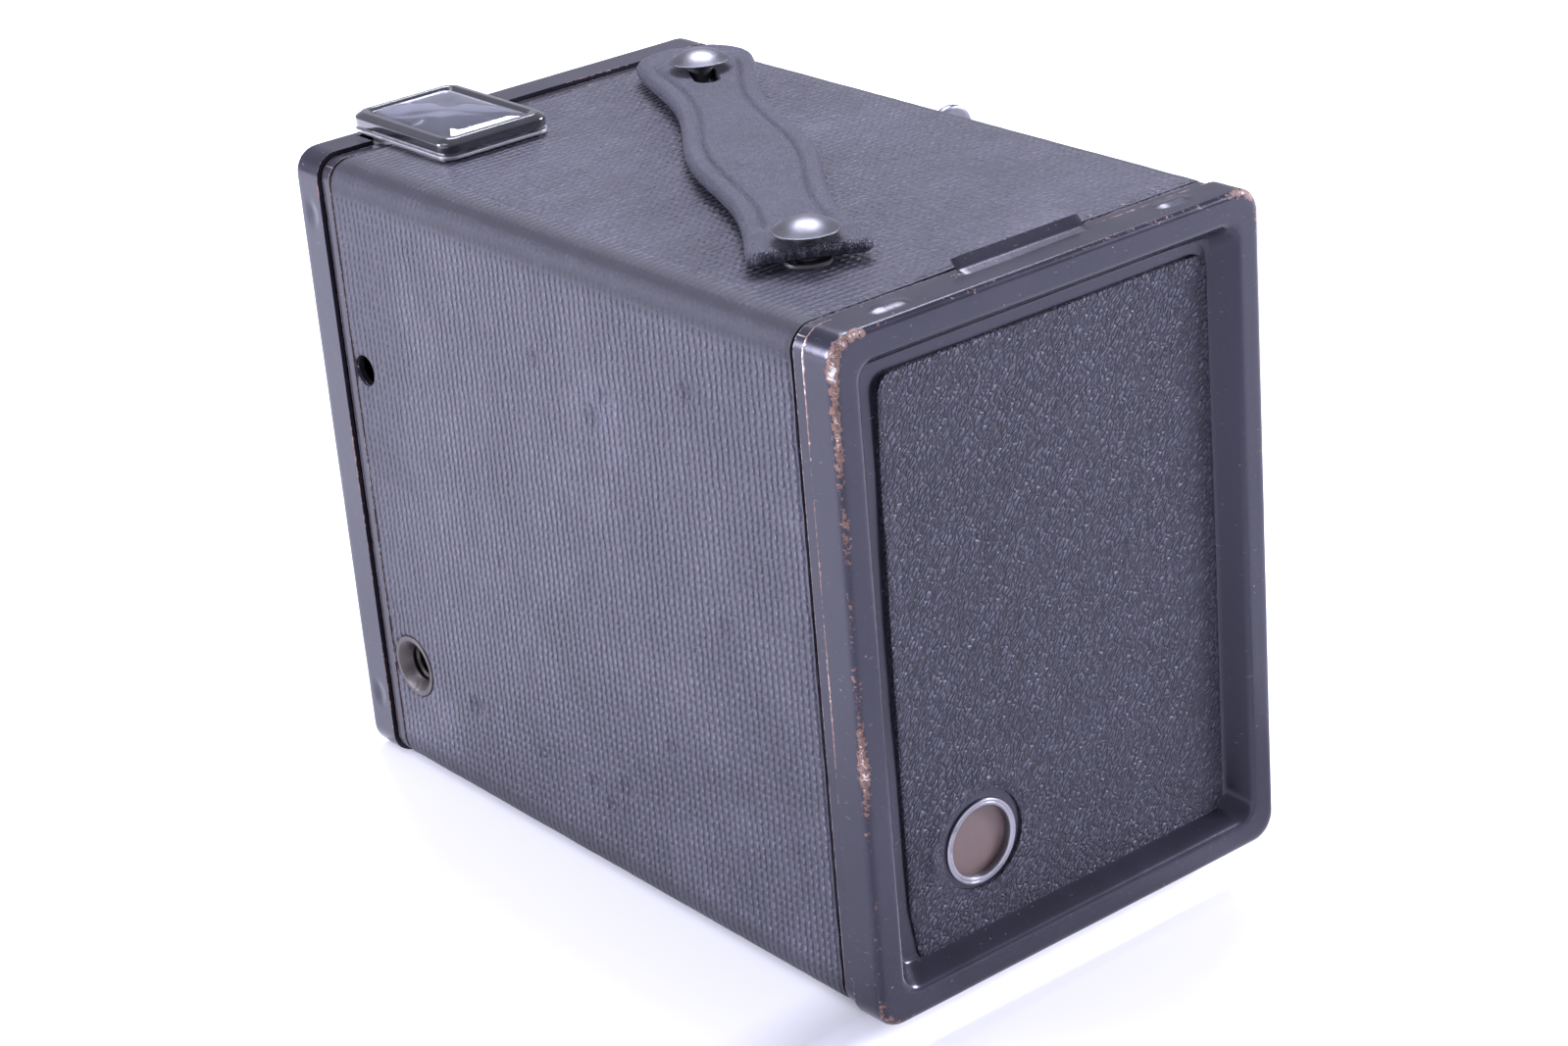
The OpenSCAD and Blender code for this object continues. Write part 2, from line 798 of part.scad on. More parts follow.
module finder_bezel() {
    difference() {
        union() {
            finder_plate(finder_w, finder_l, 2.4, bezel_z0, bezel_z0 + bezel_h);
            finder_plate(finder_w - 2, finder_l - 2, 2, bezel_z0 + bezel_h, bezel_z0 + bezel_h + bezel_rise);
        }
        finder_plate(neck_w - 2 * finder_wall, neck_y1 - neck_y0 - 3, 1, bezel_z0 - cut, bezel_z0 + cut);
        finder_plate(glass_w, glass_l, 1.5, bezel_z0 + 0.6, bezel_z0 + 5);
    }
}

module finder_glass() {
    bulge_r = 46;
    top_z = bezel_z0 + bezel_h + glass_rise;
    intersection() {
        finder_plate(glass_w, glass_l, 1.5, bezel_z0 + 0.6, top_z + cut);
        translate([0, finder_y, top_z - bulge_r])
            sphere(r = bulge_r, $fn = 96);
    }
}

module finder_mirror() {
    run = neck_y1 - neck_y0 - 2 * finder_wall - 2;
    translate([0, neck_y0 + finder_wall + 1, -finder_depth + finder_wall + 0.4])
        rotate([45, 0, 0])
            block(-neck_w / 2 + finder_wall, neck_w / 2 - finder_wall, 0, run, 0, 0.8);
}

module finder_eyes(y0, y1, grow) {
    on_top()
        block(-eye_w / 2 - grow, eye_w / 2 + grow, y0, y1,
              -eye_drop - eye_w / 2 - grow, -eye_drop + eye_w / 2 + grow);
    on_side()
        block(-eye_w / 2 - grow, eye_w / 2 + grow, y0, y1,
              -eye_drop - eye_w / 2 - grow, -eye_drop + eye_w / 2 + grow);
}

// Small glass let into the cap's panel in front of a finder
module finder_window() {
    block(-eye_w / 2, eye_w / 2, cap_face_y - 0.3, cap_back_y, -eye_drop - eye_w / 2, -eye_drop + eye_w / 2);
}

module top_finder_housing() {
    color("dimgray")
        on_top()
            finder_housing();
}

module top_finder_bezel() {
    color([0.05, 0.05, 0.06])
        on_top()
            finder_bezel();
}

module top_finder_glass() {
    color([0.75, 0.85, 0.9, 0.5])
        on_top()
            finder_glass();
}

module top_finder_mirror() {
    color("white")
        on_top()
            finder_mirror();
}

module top_finder_window() {
    color([0.75, 0.85, 0.9, 0.5])
        on_top()
            finder_window();
}

module side_finder_housing() {
    color("dimgray")
        on_side()
            finder_housing();
}

module side_finder_bezel() {
    color([0.05, 0.05, 0.06])
        on_side()
            finder_bezel();
}

module side_finder_glass() {
    color([0.75, 0.85, 0.9, 0.5])
        on_side()
            finder_glass();
}

module side_finder_mirror() {
    color("white")
        on_side()
            finder_mirror();
}

module side_finder_window() {
    color([0.75, 0.85, 0.9, 0.5])
        on_side()
            finder_window();
}

// ---------- Strap and its studs ----------

function strap_edge(u) = strap_half + strap_wave * cos(360 * (u - strap_shift) / strap_period);

// Narrowing of the rounded front end
function end_round(u) = let (s = (u - strap_front) / strap_half) s >= 1 ? 1 : sqrt(1 - (1 - s) * (1 - s));

module strap_outline() {
    step = (strap_rear - strap_front) / strap_steps;
    along = [for (i = [0 : strap_steps]) strap_front + 0.4 + i * (step - 0.4 / strap_steps)];
    side_a = [for (u = along) [u, strap_edge(u) * end_round(u)]];
    side_b = [for (i = [strap_steps : -1 : 0]) [along[i], -strap_edge(along[i]) * end_round(along[i])]];
    polygon(concat(side_a, side_b));
}

// Slot for a stud's shank between two places along the strap
module strap_slot(u0, u1) {
    translate([u0, 0])
        circle(slot_half);
    translate([u1, 0])
        circle(slot_half);
    translate([(u0 + u1) / 2, 0])
        square([u1 - u0, 2 * slot_half], center = true);
}

module strap() {
    color([0.12, 0.12, 0.13])
    translate([0, mid_y, strap_z0])
        rotate([0, 0, strap_turn])
            linear_extrude(strap_t)
                difference() {
                    strap_outline();
                    strap_slot(-stud_half - slot_play, -stud_half + slot_front_run);
                    strap_slot(stud_half - slot_rear_run, stud_half);
                }
}

module at_studs() {
    for (side = [-1, 1])
        translate([side * stud_span_x / 2, mid_y + side * stud_span_y / 2, 0])
            children();
}

// Domed head on a shank, with a foot that keeps the strap off the cloth
module strap_studs() {
    dome_r = (stud_head_d * stud_head_d / 4 + stud_dome_h * stud_dome_h) / (2 * stud_dome_h);
    color("silver")
    at_studs() {
        rod_z(0, 0, stud_shank_d, roof_z - washer_t - 0.1, stud_head_z + 0.3);
        rod_z(0, 0, stud_foot_d, cover_z1, cover_z1 + stud_foot_t);
        rotate_extrude()
            intersection() {
                translate([0, stud_head_z])
                    square([stud_head_d / 2, stud_dome_h]);
                translate([0, stud_head_z + stud_dome_h - dome_r])
                    circle(dome_r, $fn = 128);
            }
    }
}

module stud_washers() {
    color("gray")
    at_studs()
        difference() {
            rod_z(0, 0, washer_d, roof_z - washer_t, roof_z);
            rod_z(0, 0, stud_shank_d, roof_z - cut, roof_z + cut);
        }
}

// ---------- Tripod sockets ----------

// Socket pointing down, its mouth at z = 0, its flange down to seat_z and its wall ring above inner_z
module tripod_socket(seat_z, inner_z, lip_d, lip_depth) {
    difference() {
        union() {
            rod_z(0, 0, socket_flange_d, 0, seat_z);
            rod_z(0, 0, socket_lip_d + 2 * socket_wall, 0, thread_depth + 1);
            rod_z(0, 0, socket_flange_d, inner_z, inner_z + socket_ring_t);
        }
        rod_z(0, 0, thread_d, -cut, thread_depth);
        translate([0, 0, -0.001])
            cylinder(d1 = lip_d, d2 = thread_d, h = lip_depth);
    }
}

module bottom_tripod_socket() {
    color("silver")
        tripod_socket(shell_z0, floor_z, thread_d + 0.02, 0.02);
}

module side_tripod_socket() {
    color("silver")
    translate([cover_x, 0, side_socket_z])
        rotate([0, -90, 0])
            tripod_socket(cover_t, cover_t + shell_t, socket_lip_d, socket_lip_depth);
}

// ---------- Film carrier ----------

// U-shaped carrier: two side plates and the bulkhead between them
module film_carrier() {
    color([0.22, 0.22, 0.24])
    difference() {
        union() {
            for (side = [-1, 1])
                translate([side * (carrier_x1 - plate_t / 2), 0, 0])
                    block(-plate_t / 2, plate_t / 2, carrier_y0, carrier_y1, floor_z, carrier_z1);
            block(-carrier_x1, carrier_x1, carrier_y0, carrier_y0 + plate_t, floor_z, bulkhead_z1);
        }
        block(-cone_half, cone_half, carrier_y0 - cut, carrier_y0 + plate_t + cut,
              lens_z - cone_half, lens_z + cone_half);
        rod_x(spool_y, spool_z, key_boss_d, -carrier_x1 - cut, -carrier_x0 + cut);
        for (z = [spool_z, supply_z])
            rod_x(spool_y, z, spool_pin_d, carrier_x0 - cut, carrier_x1 + cut);
        rod_x(spool_y, supply_z, spool_pin_d, -carrier_x1 - cut, -carrier_x0 + cut);
        for (side = [-1, 1])
            rod_x(gate_y, mid_z + side * roller_z, roller_pin_d, -carrier_x1 - cut, carrier_x1 + cut);
    }
}

// Pyramid from the bulkhead's opening to the film gate
module cone_form(grow, y0, y1) {
    hull() {
        block(-cone_half - grow, cone_half + grow, y0, y0 + 0.1,
              lens_z - cone_half - grow, lens_z + cone_half + grow);
        block(-frame_w / 2 - grow, frame_w / 2 + grow, y1 - 0.1, y1,
              lens_z - frame_h / 2 - grow, lens_z + frame_h / 2 + grow);
    }
}

module light_cone() {
    color([0.16, 0.16, 0.17])
    difference() {
        cone_form(cone_wall, cone_y0, gate_y - plate_t / 2);
        cone_form(0, cone_y0 - 0.01, gate_y - plate_t / 2 + 0.01);
    }
}

module film_gate() {
    color([0.2, 0.2, 0.22])
    difference() {
        block(-carrier_x0, carrier_x0, gate_y - plate_t / 2, gate_y + plate_t / 2,
              lens_z - gate_h / 2, lens_z + gate_h / 2);
        block(-frame_w / 2, frame_w / 2, gate_y - cut, gate_y + cut,
              lens_z - frame_h / 2, lens_z + frame_h / 2);
    }
}

module guide_roller(z) {
    color("silver")
    difference() {
        rod_x(gate_y, z, roller_d, -roller_half, roller_half);
        rod_x(gate_y, z, roller_pin_d + 2 * run_gap, -roller_half - cut, roller_half + cut);
    }
}

module upper_guide_roller() {
    guide_roller(mid_z + roller_z);
}

module lower_guide_roller() {
    guide_roller(mid_z - roller_z);
}

module roller_pins() {
    color("dimgray")
    for (side = [-1, 1])
        rod_x(gate_y, mid_z + side * roller_z, roller_pin_d, -carrier_x1, carrier_x1);
}

// Pin through a side plate, with a head outside it; inward is the way the pin points
module spool_pin(z, side) {
    tip = carrier_x0 - spool_pin_len;
    a = min(side * tip, side * carrier_x1);
    b = max(side * tip, side * carrier_x1);
    h0 = min(side * carrier_x1, side * (carrier_x1 + 1));
    rod_x(spool_y, z, spool_pin_d, a, b);
    rod_x(spool_y, z, spool_pin_d + 3, h0, h0 + 1);
}

module spool_pins() {
    color("silver") {
        spool_pin(spool_z, 1);
        spool_pin(supply_z, 1);
        spool_pin(supply_z, -1);
    }
}

// Leaf springs on the bulkhead that press on the film spools
module spool_springs() {
    leaf_w = 14;
    color("goldenrod")
    for (side = [-1, 1])
        translate([0, carrier_y0 + plate_t, mid_z + side * (spool_off + 6)])
            rotate([side * -20, 0, 0])
                intersection() {
                    translate([0, 0, -side * 0.5])
                        block(-leaf_w / 2, leaf_w / 2, -1, 9, -0.25, 0.25);
                    rotate([side * 20, 0, 0])
                        block(-leaf_w, leaf_w, 0, 20, -20, 20);
                }
}

module take_up_spool() {
    half = spool_len / 2;
    color([0.3, 0.12, 0.1])
    difference() {
        union() {
            rod_x(spool_y, spool_z, spool_core_d, -half, half);
            rod_x(spool_y, spool_z, spool_flange_d, -half, -half + spool_flange_t);
            rod_x(spool_y, spool_z, spool_flange_d, half - spool_flange_t, half);
        }
        rod_x(spool_y, spool_z, spool_pin_d + 2 * run_gap, half - spool_pin_len, half + cut);
        translate([0, spool_y, spool_z])
            block(-half - cut, -half + spool_slot_d, -spool_slot_w / 2, spool_slot_w / 2,
                  -spool_slot_l / 2, spool_slot_l / 2);
    }
}

// ---------- Winding key ----------

// Bush through the side wall, with a round plate outside
module key_plate() {
    color("silver")
    difference() {
        union() {
            rod_x(spool_y, spool_z, 14, -cover_x - plate_out_t, -cover_x);
            rod_x(spool_y, spool_z, key_boss_d, -cover_x - plate_out_t, -shell_in);
        }
        rod_x(spool_y, spool_z, key_shaft_d + 2 * run_gap, -body_w, 0);
    }
}

module key_collar() {
    color("gray")
    difference() {
        rod_x(spool_y, spool_z, 8, -collar_x - collar_t, -collar_x);
        rod_x(spool_y, spool_z, key_shaft_d + 2 * run_gap, -body_w, 0);
    }
}

module winding_key() {
    half = spool_len / 2;
    wing_x0 = hub_x + 0.8;
    color("silver") {
        rod_x(spool_y, spool_z, key_shaft_d, -hub_x - hub_t, -half - 0.5);
        rod_x(spool_y, spool_z, 7.5, -hub_x - hub_t, -hub_x);
        translate([0, spool_y, spool_z]) {
            intersection() {
                block(-half - 1, -half + blade_in, -blade_t / 2, blade_t / 2, -blade_w / 2, blade_w / 2);
                rod_x(0, 0, blade_w, -half - 1, -half + blade_in);
            }
            translate([-wing_x0 - wing_w / 2, 0, 0])
                rotate([90, 0, 0])
                    translate([0, 0, -wing_t / 2])
                        linear_extrude(wing_t)
                            rounded_rect(wing_w, key_span, wing_r);
        }
    }
}

// ---------- Drawing ----------

shell_top();
shell_bottom();
shell_socket_side();
shell_key_side();
body_covering();
front_cap();
front_covering();
lens_ring();
lens();
lens_retainer();
shutter_board();
slide_guides();
shutter_pivot();
lever_pivot();
shutter_spring();
shutter_disc();
release_lever();
stop_slide();
time_slide();
top_finder_housing();
top_finder_bezel();
top_finder_glass();
top_finder_mirror();
top_finder_window();
side_finder_housing();
side_finder_bezel();
side_finder_glass();
side_finder_mirror();
side_finder_window();
strap();
strap_studs();
stud_washers();
side_tripod_socket();
bottom_tripod_socket();
film_carrier();
light_cone();
film_gate();
upper_guide_roller();
lower_guide_roller();
roller_pins();
spool_pins();
spool_springs();
take_up_spool();
key_plate();
key_collar();
winding_key();
hinge_leaf();
hinge_pin();
rear_door();
door_covering();
window_ring();
red_window();
window_washer();
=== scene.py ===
# %% [markdown]
# # A roll-film box camera, dressed for its portrait
#
# The metal and glass of this camera were designed as exact solids. Here that model comes in as a fixed frame,
# and each thing that shows is given the softness, cloth and wear that exact solids lack. A piece made here
# rides on one of the frame's moving bodies, so that the door still swings and the key still turns.

# %% Load the fixed frame
import math

import bmesh
import bpy
from mathutils import Matrix, Vector, noise


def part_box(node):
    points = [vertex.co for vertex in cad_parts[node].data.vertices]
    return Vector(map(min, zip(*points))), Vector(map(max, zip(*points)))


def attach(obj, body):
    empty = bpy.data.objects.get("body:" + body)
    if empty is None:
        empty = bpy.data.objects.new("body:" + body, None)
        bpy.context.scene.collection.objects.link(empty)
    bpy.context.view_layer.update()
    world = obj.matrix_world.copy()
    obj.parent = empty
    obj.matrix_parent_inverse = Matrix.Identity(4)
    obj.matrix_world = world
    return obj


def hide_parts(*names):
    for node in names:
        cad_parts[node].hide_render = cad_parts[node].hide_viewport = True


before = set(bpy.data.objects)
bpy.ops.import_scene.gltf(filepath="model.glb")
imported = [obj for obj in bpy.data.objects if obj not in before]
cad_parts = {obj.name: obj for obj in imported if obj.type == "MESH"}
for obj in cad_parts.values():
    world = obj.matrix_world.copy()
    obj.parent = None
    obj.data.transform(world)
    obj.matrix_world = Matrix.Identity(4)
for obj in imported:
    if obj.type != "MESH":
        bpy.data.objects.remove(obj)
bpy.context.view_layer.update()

# %% [markdown]
# ## Sizes
#
# A camera maker thinks in millimetres, and Blender's unit is the metre. Places are read from the frame's own
# nodes and turned into millimetres here, and every mesh is turned back into metres as it is made. Asking the
# frame, instead of typing the sizes again, keeps each piece on its part when the design changes.

# %% Millimetres from the frame
MM = 0.001


def span(node):
    """The lowest and highest corner of a node, in millimetres."""
    low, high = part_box(node)
    return low / MM, high / MM


cap_low, cap_high = span("front_cap")
cloth_low, cloth_high = span("body_covering")
strap_low, strap_high = span("strap")
ring_low, ring_high = span("window_ring")

half_width = cap_high.x
height = cap_high.z
front_y = cap_low.y
rear_y = span("rear_door")[1].y
cap_edge_y = cap_high.y
corner_r = 4.0
sheet = 0.7
print(f"camera {2 * half_width:.1f} wide, {height:.1f} high, front {front_y:.1f}, rear {rear_y:.1f} mm")

# %% [markdown]
# ## The camera that takes the picture
#
# A product picture of a box is usually taken with a short telephoto lens from a little above, so that three
# faces show and the edges converge gently. Place, aim and a small roll describe such a view completely. The
# three axes are worked out from them, which is clearer than typing a rotation matrix.

# %% View
view_from = Vector((299.65, 445.34, 264.20)) * MM
view_to = Vector((6.27, 59.65, 51.72)) * MM
view_roll = 0.0858

ahead = (view_to - view_from).normalized()
level = ahead.cross(Vector((0, 0, 1))).normalized()
down = ahead.cross(level)
right = level * math.cos(view_roll) + down * math.sin(view_roll)
lens = bpy.data.cameras.new("portrait_lens")
lens.lens = 78.9
lens.sensor_width = 36
lens.clip_start, lens.clip_end = 0.05, 20
portrait = bpy.data.objects.new("portrait_camera", lens)
turned = Matrix((right, right.cross(ahead), -ahead)).transposed()
portrait.matrix_world = Matrix.Translation(view_from) @ turned.to_4x4()
bpy.context.scene.collection.objects.link(portrait)
bpy.context.scene.camera = portrait
print("camera stands", round((view_from - view_to).length, 3), "m away")

# %% [markdown]
# ## Floor and light
#
# Black leathercloth and black enamel show their shape only by what they reflect, so the set is bright all
# round: a white floor, a white sky and wide soft lamps. One lamp alone would leave the grain flat, so a
# stronger one grazes the side and another the door. The plain view transform keeps the whites clean. The
# real door opens to below the surface that the camera stands on, so someone lifts the camera first. Here
# the floor has a shallow hollow behind the camera, and the open door can be seen lying in it.

# %% Set and lamps
scene = bpy.context.scene
scene.view_settings.view_transform = "Standard"

hollow_start = rear_y * MM - 0.0075
hollow_depth = 0.0072
hollow_slope = 0.1
brink_run = 0.004
hollow_end = 0.24
end_run = 0.06
hollow_half = 0.0435
side_run = 0.03


def eased(t):
    """0 to 1 with a soft start and a soft end."""
    t = min(1.0, max(0.0, t))
    return t * t * (3 - 2 * t)


def floor_height(x, y):
    """Level, but for a shallow hollow behind the camera that the open door lies in."""
    depth = hollow_depth + hollow_slope * max(0.0, y - hollow_start)
    begins = eased((y - hollow_start) / brink_run)
    ends = 1 - eased((y - hollow_end) / end_run)
    return -depth * begins * ends * (1 - eased((abs(x) - hollow_half) / side_run))


floor_xs = [-4.0, -1.0, -0.3, -0.12] + [k * 0.002 for k in range(-50, 51)] + [0.12, 0.3, 1.0, 4.0]
floor_ys = [-4.0, -1.0, -0.3, 0.0, 0.10] + [hollow_start + k * 0.0008 for k in range(12)]
floor_ys += [0.13 + k * 0.003 for k in range(60)] + [0.35, 0.5, 1.0, 4.0]
floor_points = [(x, y, floor_height(x, y)) for y in floor_ys for x in floor_xs]
floor_columns = len(floor_xs)
floor_faces = []
for row in range(len(floor_ys) - 1):
    for column in range(floor_columns - 1):
        corner = row * floor_columns + column
        beyond = corner + floor_columns
        floor_faces.append((corner, corner + 1, beyond + 1, beyond))
floor_mesh = bpy.data.meshes.new("studio_floor")
floor_mesh.from_pydata(floor_points, [], floor_faces)
floor_mesh.shade_smooth()
floor = bpy.data.objects.new("studio_floor", floor_mesh)
scene.collection.objects.link(floor)

sky = bpy.data.worlds.new("white_room")
sky.use_nodes = True
sky.node_tree.nodes["Background"].inputs["Color"].default_value = (0.84, 0.84, 1.0, 1)
sky.node_tree.nodes["Background"].inputs["Strength"].default_value = 0.70
scene.world = sky


def soft_lamp(name, place, size, power):
    """A square area lamp, in metres and watts, aimed at the middle of the camera."""
    data = bpy.data.lights.new(name, "AREA")
    data.size = size
    data.energy = power
    data.color = (0.87, 0.87, 1.0)
    lamp = bpy.data.objects.new(name, data)
    lamp.location = place
    aim = Vector((0, 0.05, 0.05)) - Vector(place)
    lamp.rotation_euler = aim.to_track_quat("-Z", "Y").to_euler()
    scene.collection.objects.link(lamp)


soft_lamp("lamp_above", (-0.45, -0.45, 1.15), 0.6, 26)
soft_lamp("lamp_side", (1.15, -0.75, 0.45), 0.4, 34)
soft_lamp("lamp_door", (-1.15, 0.66, 0.50), 0.35, 33)
soft_lamp("lamp_floor", (0.75, -0.15, 1.15), 0.9, 9)

# %% [markdown]
# ## Writing shader maths as sums
#
# A procedural finish is a web of small nodes. Wiring it link by link hides the idea, so a wire carries its
# own arithmetic here: adding two wires adds a Math node. Colours and vectors are mixed by their own nodes,
# since a Math node would turn a colour grey. One method makes every other node.


# %% A wire with arithmetic
class Wire:
    """One output of a finish's nodes, with the sums that its shader maths needs."""

    def __init__(self, tree, socket):
        self.tree = tree
        self.socket = socket

    def node(self, kind, settings, values, out=0):
        """Adds a node: its type, its settings, then the values or wires of its sockets."""
        made = self.tree.nodes.new("ShaderNode" + kind)
        for name, setting in settings.items():
            setattr(made, name, setting)
        for name, value in values.items():
            if isinstance(value, Wire):
                self.tree.links.new(value.socket, made.inputs[name])
            else:
                made.inputs[name].default_value = value
        return Wire(self.tree, made.outputs[out])

    def math(self, operation, first, second=0.0):
        return self.node("Math", {"operation": operation}, {0: first, 1: second})

    def __add__(self, other):
        return self.math("ADD", self, other)

    def __radd__(self, other):
        return self.math("ADD", other, self)

    def __sub__(self, other):
        return self.math("SUBTRACT", self, other)

    def __rsub__(self, other):
        return self.math("SUBTRACT", other, self)

    def __mul__(self, other):
        return self.math("MULTIPLY", self, other)

    def step(self, low, high):
        """0 below low, 1 above high, and smooth between."""
        return self.node("MapRange", {"interpolation_type": "SMOOTHSTEP"}, {0: self, 1: low, 2: high})

    def wave(self):
        """A soft wave from 0 to 1, one for each whole turn of the value."""
        return self.math("COSINE", self * math.tau) * 0.5 + 0.5

    def shade(self, low, high):
        """A colour between two, chosen by this value."""
        settings = {"data_type": "RGBA", "clamp_factor": True}
        return self.node("Mix", settings, {0: self, 6: colour(low), 7: colour(high)}, 2)

    def part(self, axis):
        """One of a vector's three numbers."""
        return self.node("SeparateXYZ", {}, {0: self}, axis)

    def shifted(self, other, amount):
        """This place moved by another vector times an amount."""
        moved = self.node("VectorMath", {"operation": "SCALE"}, {0: other, "Scale": amount})
        return self.node("VectorMath", {"operation": "ADD"}, {0: self, 1: moved})

    def placed(self, scale=(1, 1, 1), turn=(0, 0, 0)):
        """This place scaled, and then turned by angles in radians."""
        return self.node("Mapping", {}, {"Vector": self, "Scale": scale, "Rotation": turn})

    def cloud(self, size_mm, detail=3.0, rough=0.55, out=0):
        """Noise whose features are about size_mm across."""
        values = {"Vector": self, "Scale": 1 / (size_mm * MM), "Detail": detail, "Roughness": rough}
        return self.node("TexNoise", {}, values, out)

    def cells(self, size_mm, feature="F1"):
        """Cells about size_mm across: how far each place is from one's middle, or from its edge."""
        values = {"Vector": self, "Scale": 1 / (size_mm * MM)}
        return self.node("TexVoronoi", {"feature": feature}, values)


def colour(value):
    """A plain colour as a socket wants it; a wire passes through."""
    return value if isinstance(value, Wire) else (*value, 1)


print("wire ready")

# %% [markdown]
# ## Starting a finish
#
# Each finish is one Principled shader. What is the same all over is set on the shader itself, and what
# changes over the surface is wired to it. The bump height is given in millimetres, so that a grain keeps its
# real depth whatever it is put on.


# %% Finish helper
class Finish:
    """A named material with one Principled shader."""

    def __init__(self, name, **plain):
        self.material = bpy.data.materials.new(name)
        self.material.use_nodes = True
        self.tree = self.material.node_tree
        self.shader = self.tree.nodes["Principled BSDF"]
        for socket, value in plain.items():
            self.set(socket.replace("_", " "), value)

    def set(self, socket, value):
        target = self.shader.inputs[socket]
        if isinstance(value, Wire):
            self.tree.links.new(value.socket, target)
        else:
            target.default_value = colour(value) if isinstance(value, tuple) else value

    def start(self, kind, settings=None, out=0):
        """A node that needs no input, such as coordinates."""
        return Wire(self.tree, None).node(kind, settings or {}, {}, out)

    def place(self):
        return self.start("TexCoord", out=3)

    def tagged(self, name):
        """A number stored on the mesh's points under this name."""
        return self.start("Attribute", {"attribute_name": name}, 2)

    def relief(self, height, depth_mm, soften_mm=0.0):
        """Bumps the surface; soften_mm also rounds its sharp edges in the shading."""
        values = {"Height": height, "Distance": depth_mm * MM, "Strength": 1.0}
        if soften_mm:
            values["Normal"] = height.node("Bevel", {"samples": 4}, {"Radius": soften_mm * MM})
        self.set("Normal", height.node("Bump", {}, values))


def edges_of(wire, radius_mm):
    """1 where the surface turns sharply within radius_mm, 0 on the flat."""
    rounded = wire.node("Bevel", {"samples": 6}, {"Radius": radius_mm * MM})
    straight = wire.node("NewGeometry", {}, {}, 1)
    same = wire.node("VectorMath", {"operation": "DOT_PRODUCT"}, {0: rounded, 1: straight}, 1)
    return (1 - same).step(0.02, 0.2)


print("finish helper ready")

# %% [markdown]
# ## Floor finish
#
# A matt white board, just uneven enough that it isn't a perfect plane of one value.

# %% Floor
board = Finish("white_board", Roughness=0.8)
board.set("Base Color", board.place().cloud(180).shade((0.80, 0.80, 0.83), (0.84, 0.84, 0.87)))
floor.data.materials.append(board.material)
print("floor painted")

# %% [markdown]
# ## Black stoving enamel
#
# The cap, door and tube are steel, enamelled black and baked. Years of handling have cut through the enamel
# on the pressed creases: brown rust first, and bright steel where hands still rub it. A picture of rust could
# be painted on, but a stored wear value on the mesh, broken up by noise, puts the chips where hands reach.


# %% Enamel
def enamel(name, wear_and_highlight=None):
    """Satin black enamel; wear_and_highlight names the wear value on the mesh, and without it the sharp edges
    wear through.
    """
    edge_mm = 0.35
    # The lavender specular tint is painted light: it gives every reflection the lamps' lavender.
    paint = Finish(name, Specular_IOR_Level=0.42, Specular_Tint=(0.80, 0.79, 1.0))
    at = paint.place()
    patch = at.cloud(9, 4)
    grain = at.cloud(0.8, 7, 0.68)
    fine = at.cloud(0.22, 3)
    wear = paint.tagged(wear_and_highlight) if wear_and_highlight else edges_of(at, edge_mm) * 0.84
    reach = wear + (grain - 0.5) * 1.25 + (patch - 0.5) * 0.7
    through = reach.step(0.60, 0.66)
    bright = ((reach + (fine - 0.5) * 0.7).step(0.84, 0.95)) * through
    scratch = at.placed((0.25, 0.25, 1.0), (0.4, 0.3, 0.2)).cloud(0.35, 2).step(0.70, 0.74)
    specks = at.cells(1.9).step(0.10, 0.04) * at.cloud(5, 2).step(0.52, 0.66)
    # The black is tinted lavender, a painted tint of the lavender light; the patches vary it at random.
    black = patch.shade((0.008, 0.008, 0.013), (0.018, 0.017, 0.027))
    rust = fine.shade((0.085, 0.045, 0.035), (0.24, 0.135, 0.095))
    bare = fine.shade((0.42, 0.40, 0.40), (0.72, 0.70, 0.71))
    dusty = (scratch * 0.16 + specks * 0.5).shade(black, (0.34, 0.32, 0.34))
    paint.set("Base Color", bright.shade(through.shade(dusty, rust), bare))
    paint.set("Metallic", bright * 0.85)
    paint.set("Roughness", 0.24 + (patch - 0.5) * 0.16 + through * 0.36 - bright * 0.26)
    height = at.cloud(1.6, 3) * 0.35 + grain * through * 0.6 - through * 0.8 - specks * 0.2
    paint.relief(height, 0.05, 0.0 if wear_and_highlight else edge_mm)
    return paint.material


pressed_enamel = enamel("pressed_enamel", wear_and_highlight="wear")
tube_enamel = enamel("tube_enamel")
print("enamels:", pressed_enamel.name, tube_enamel.name)

# %% [markdown]
# ## Linen-grained leathercloth
#
# The tube is wrapped in cotton cloth, coated black and embossed with a linen weave of coarse threads, two
# to every three millimetres. Modelling every thread would need millions of faces. Two crossed waves, pushed
# about by noise so that no thread runs straight, give the same light and shade as a bump. The mesh carries
# the position along the cloth, so the threads turn the corners as the real ones do.


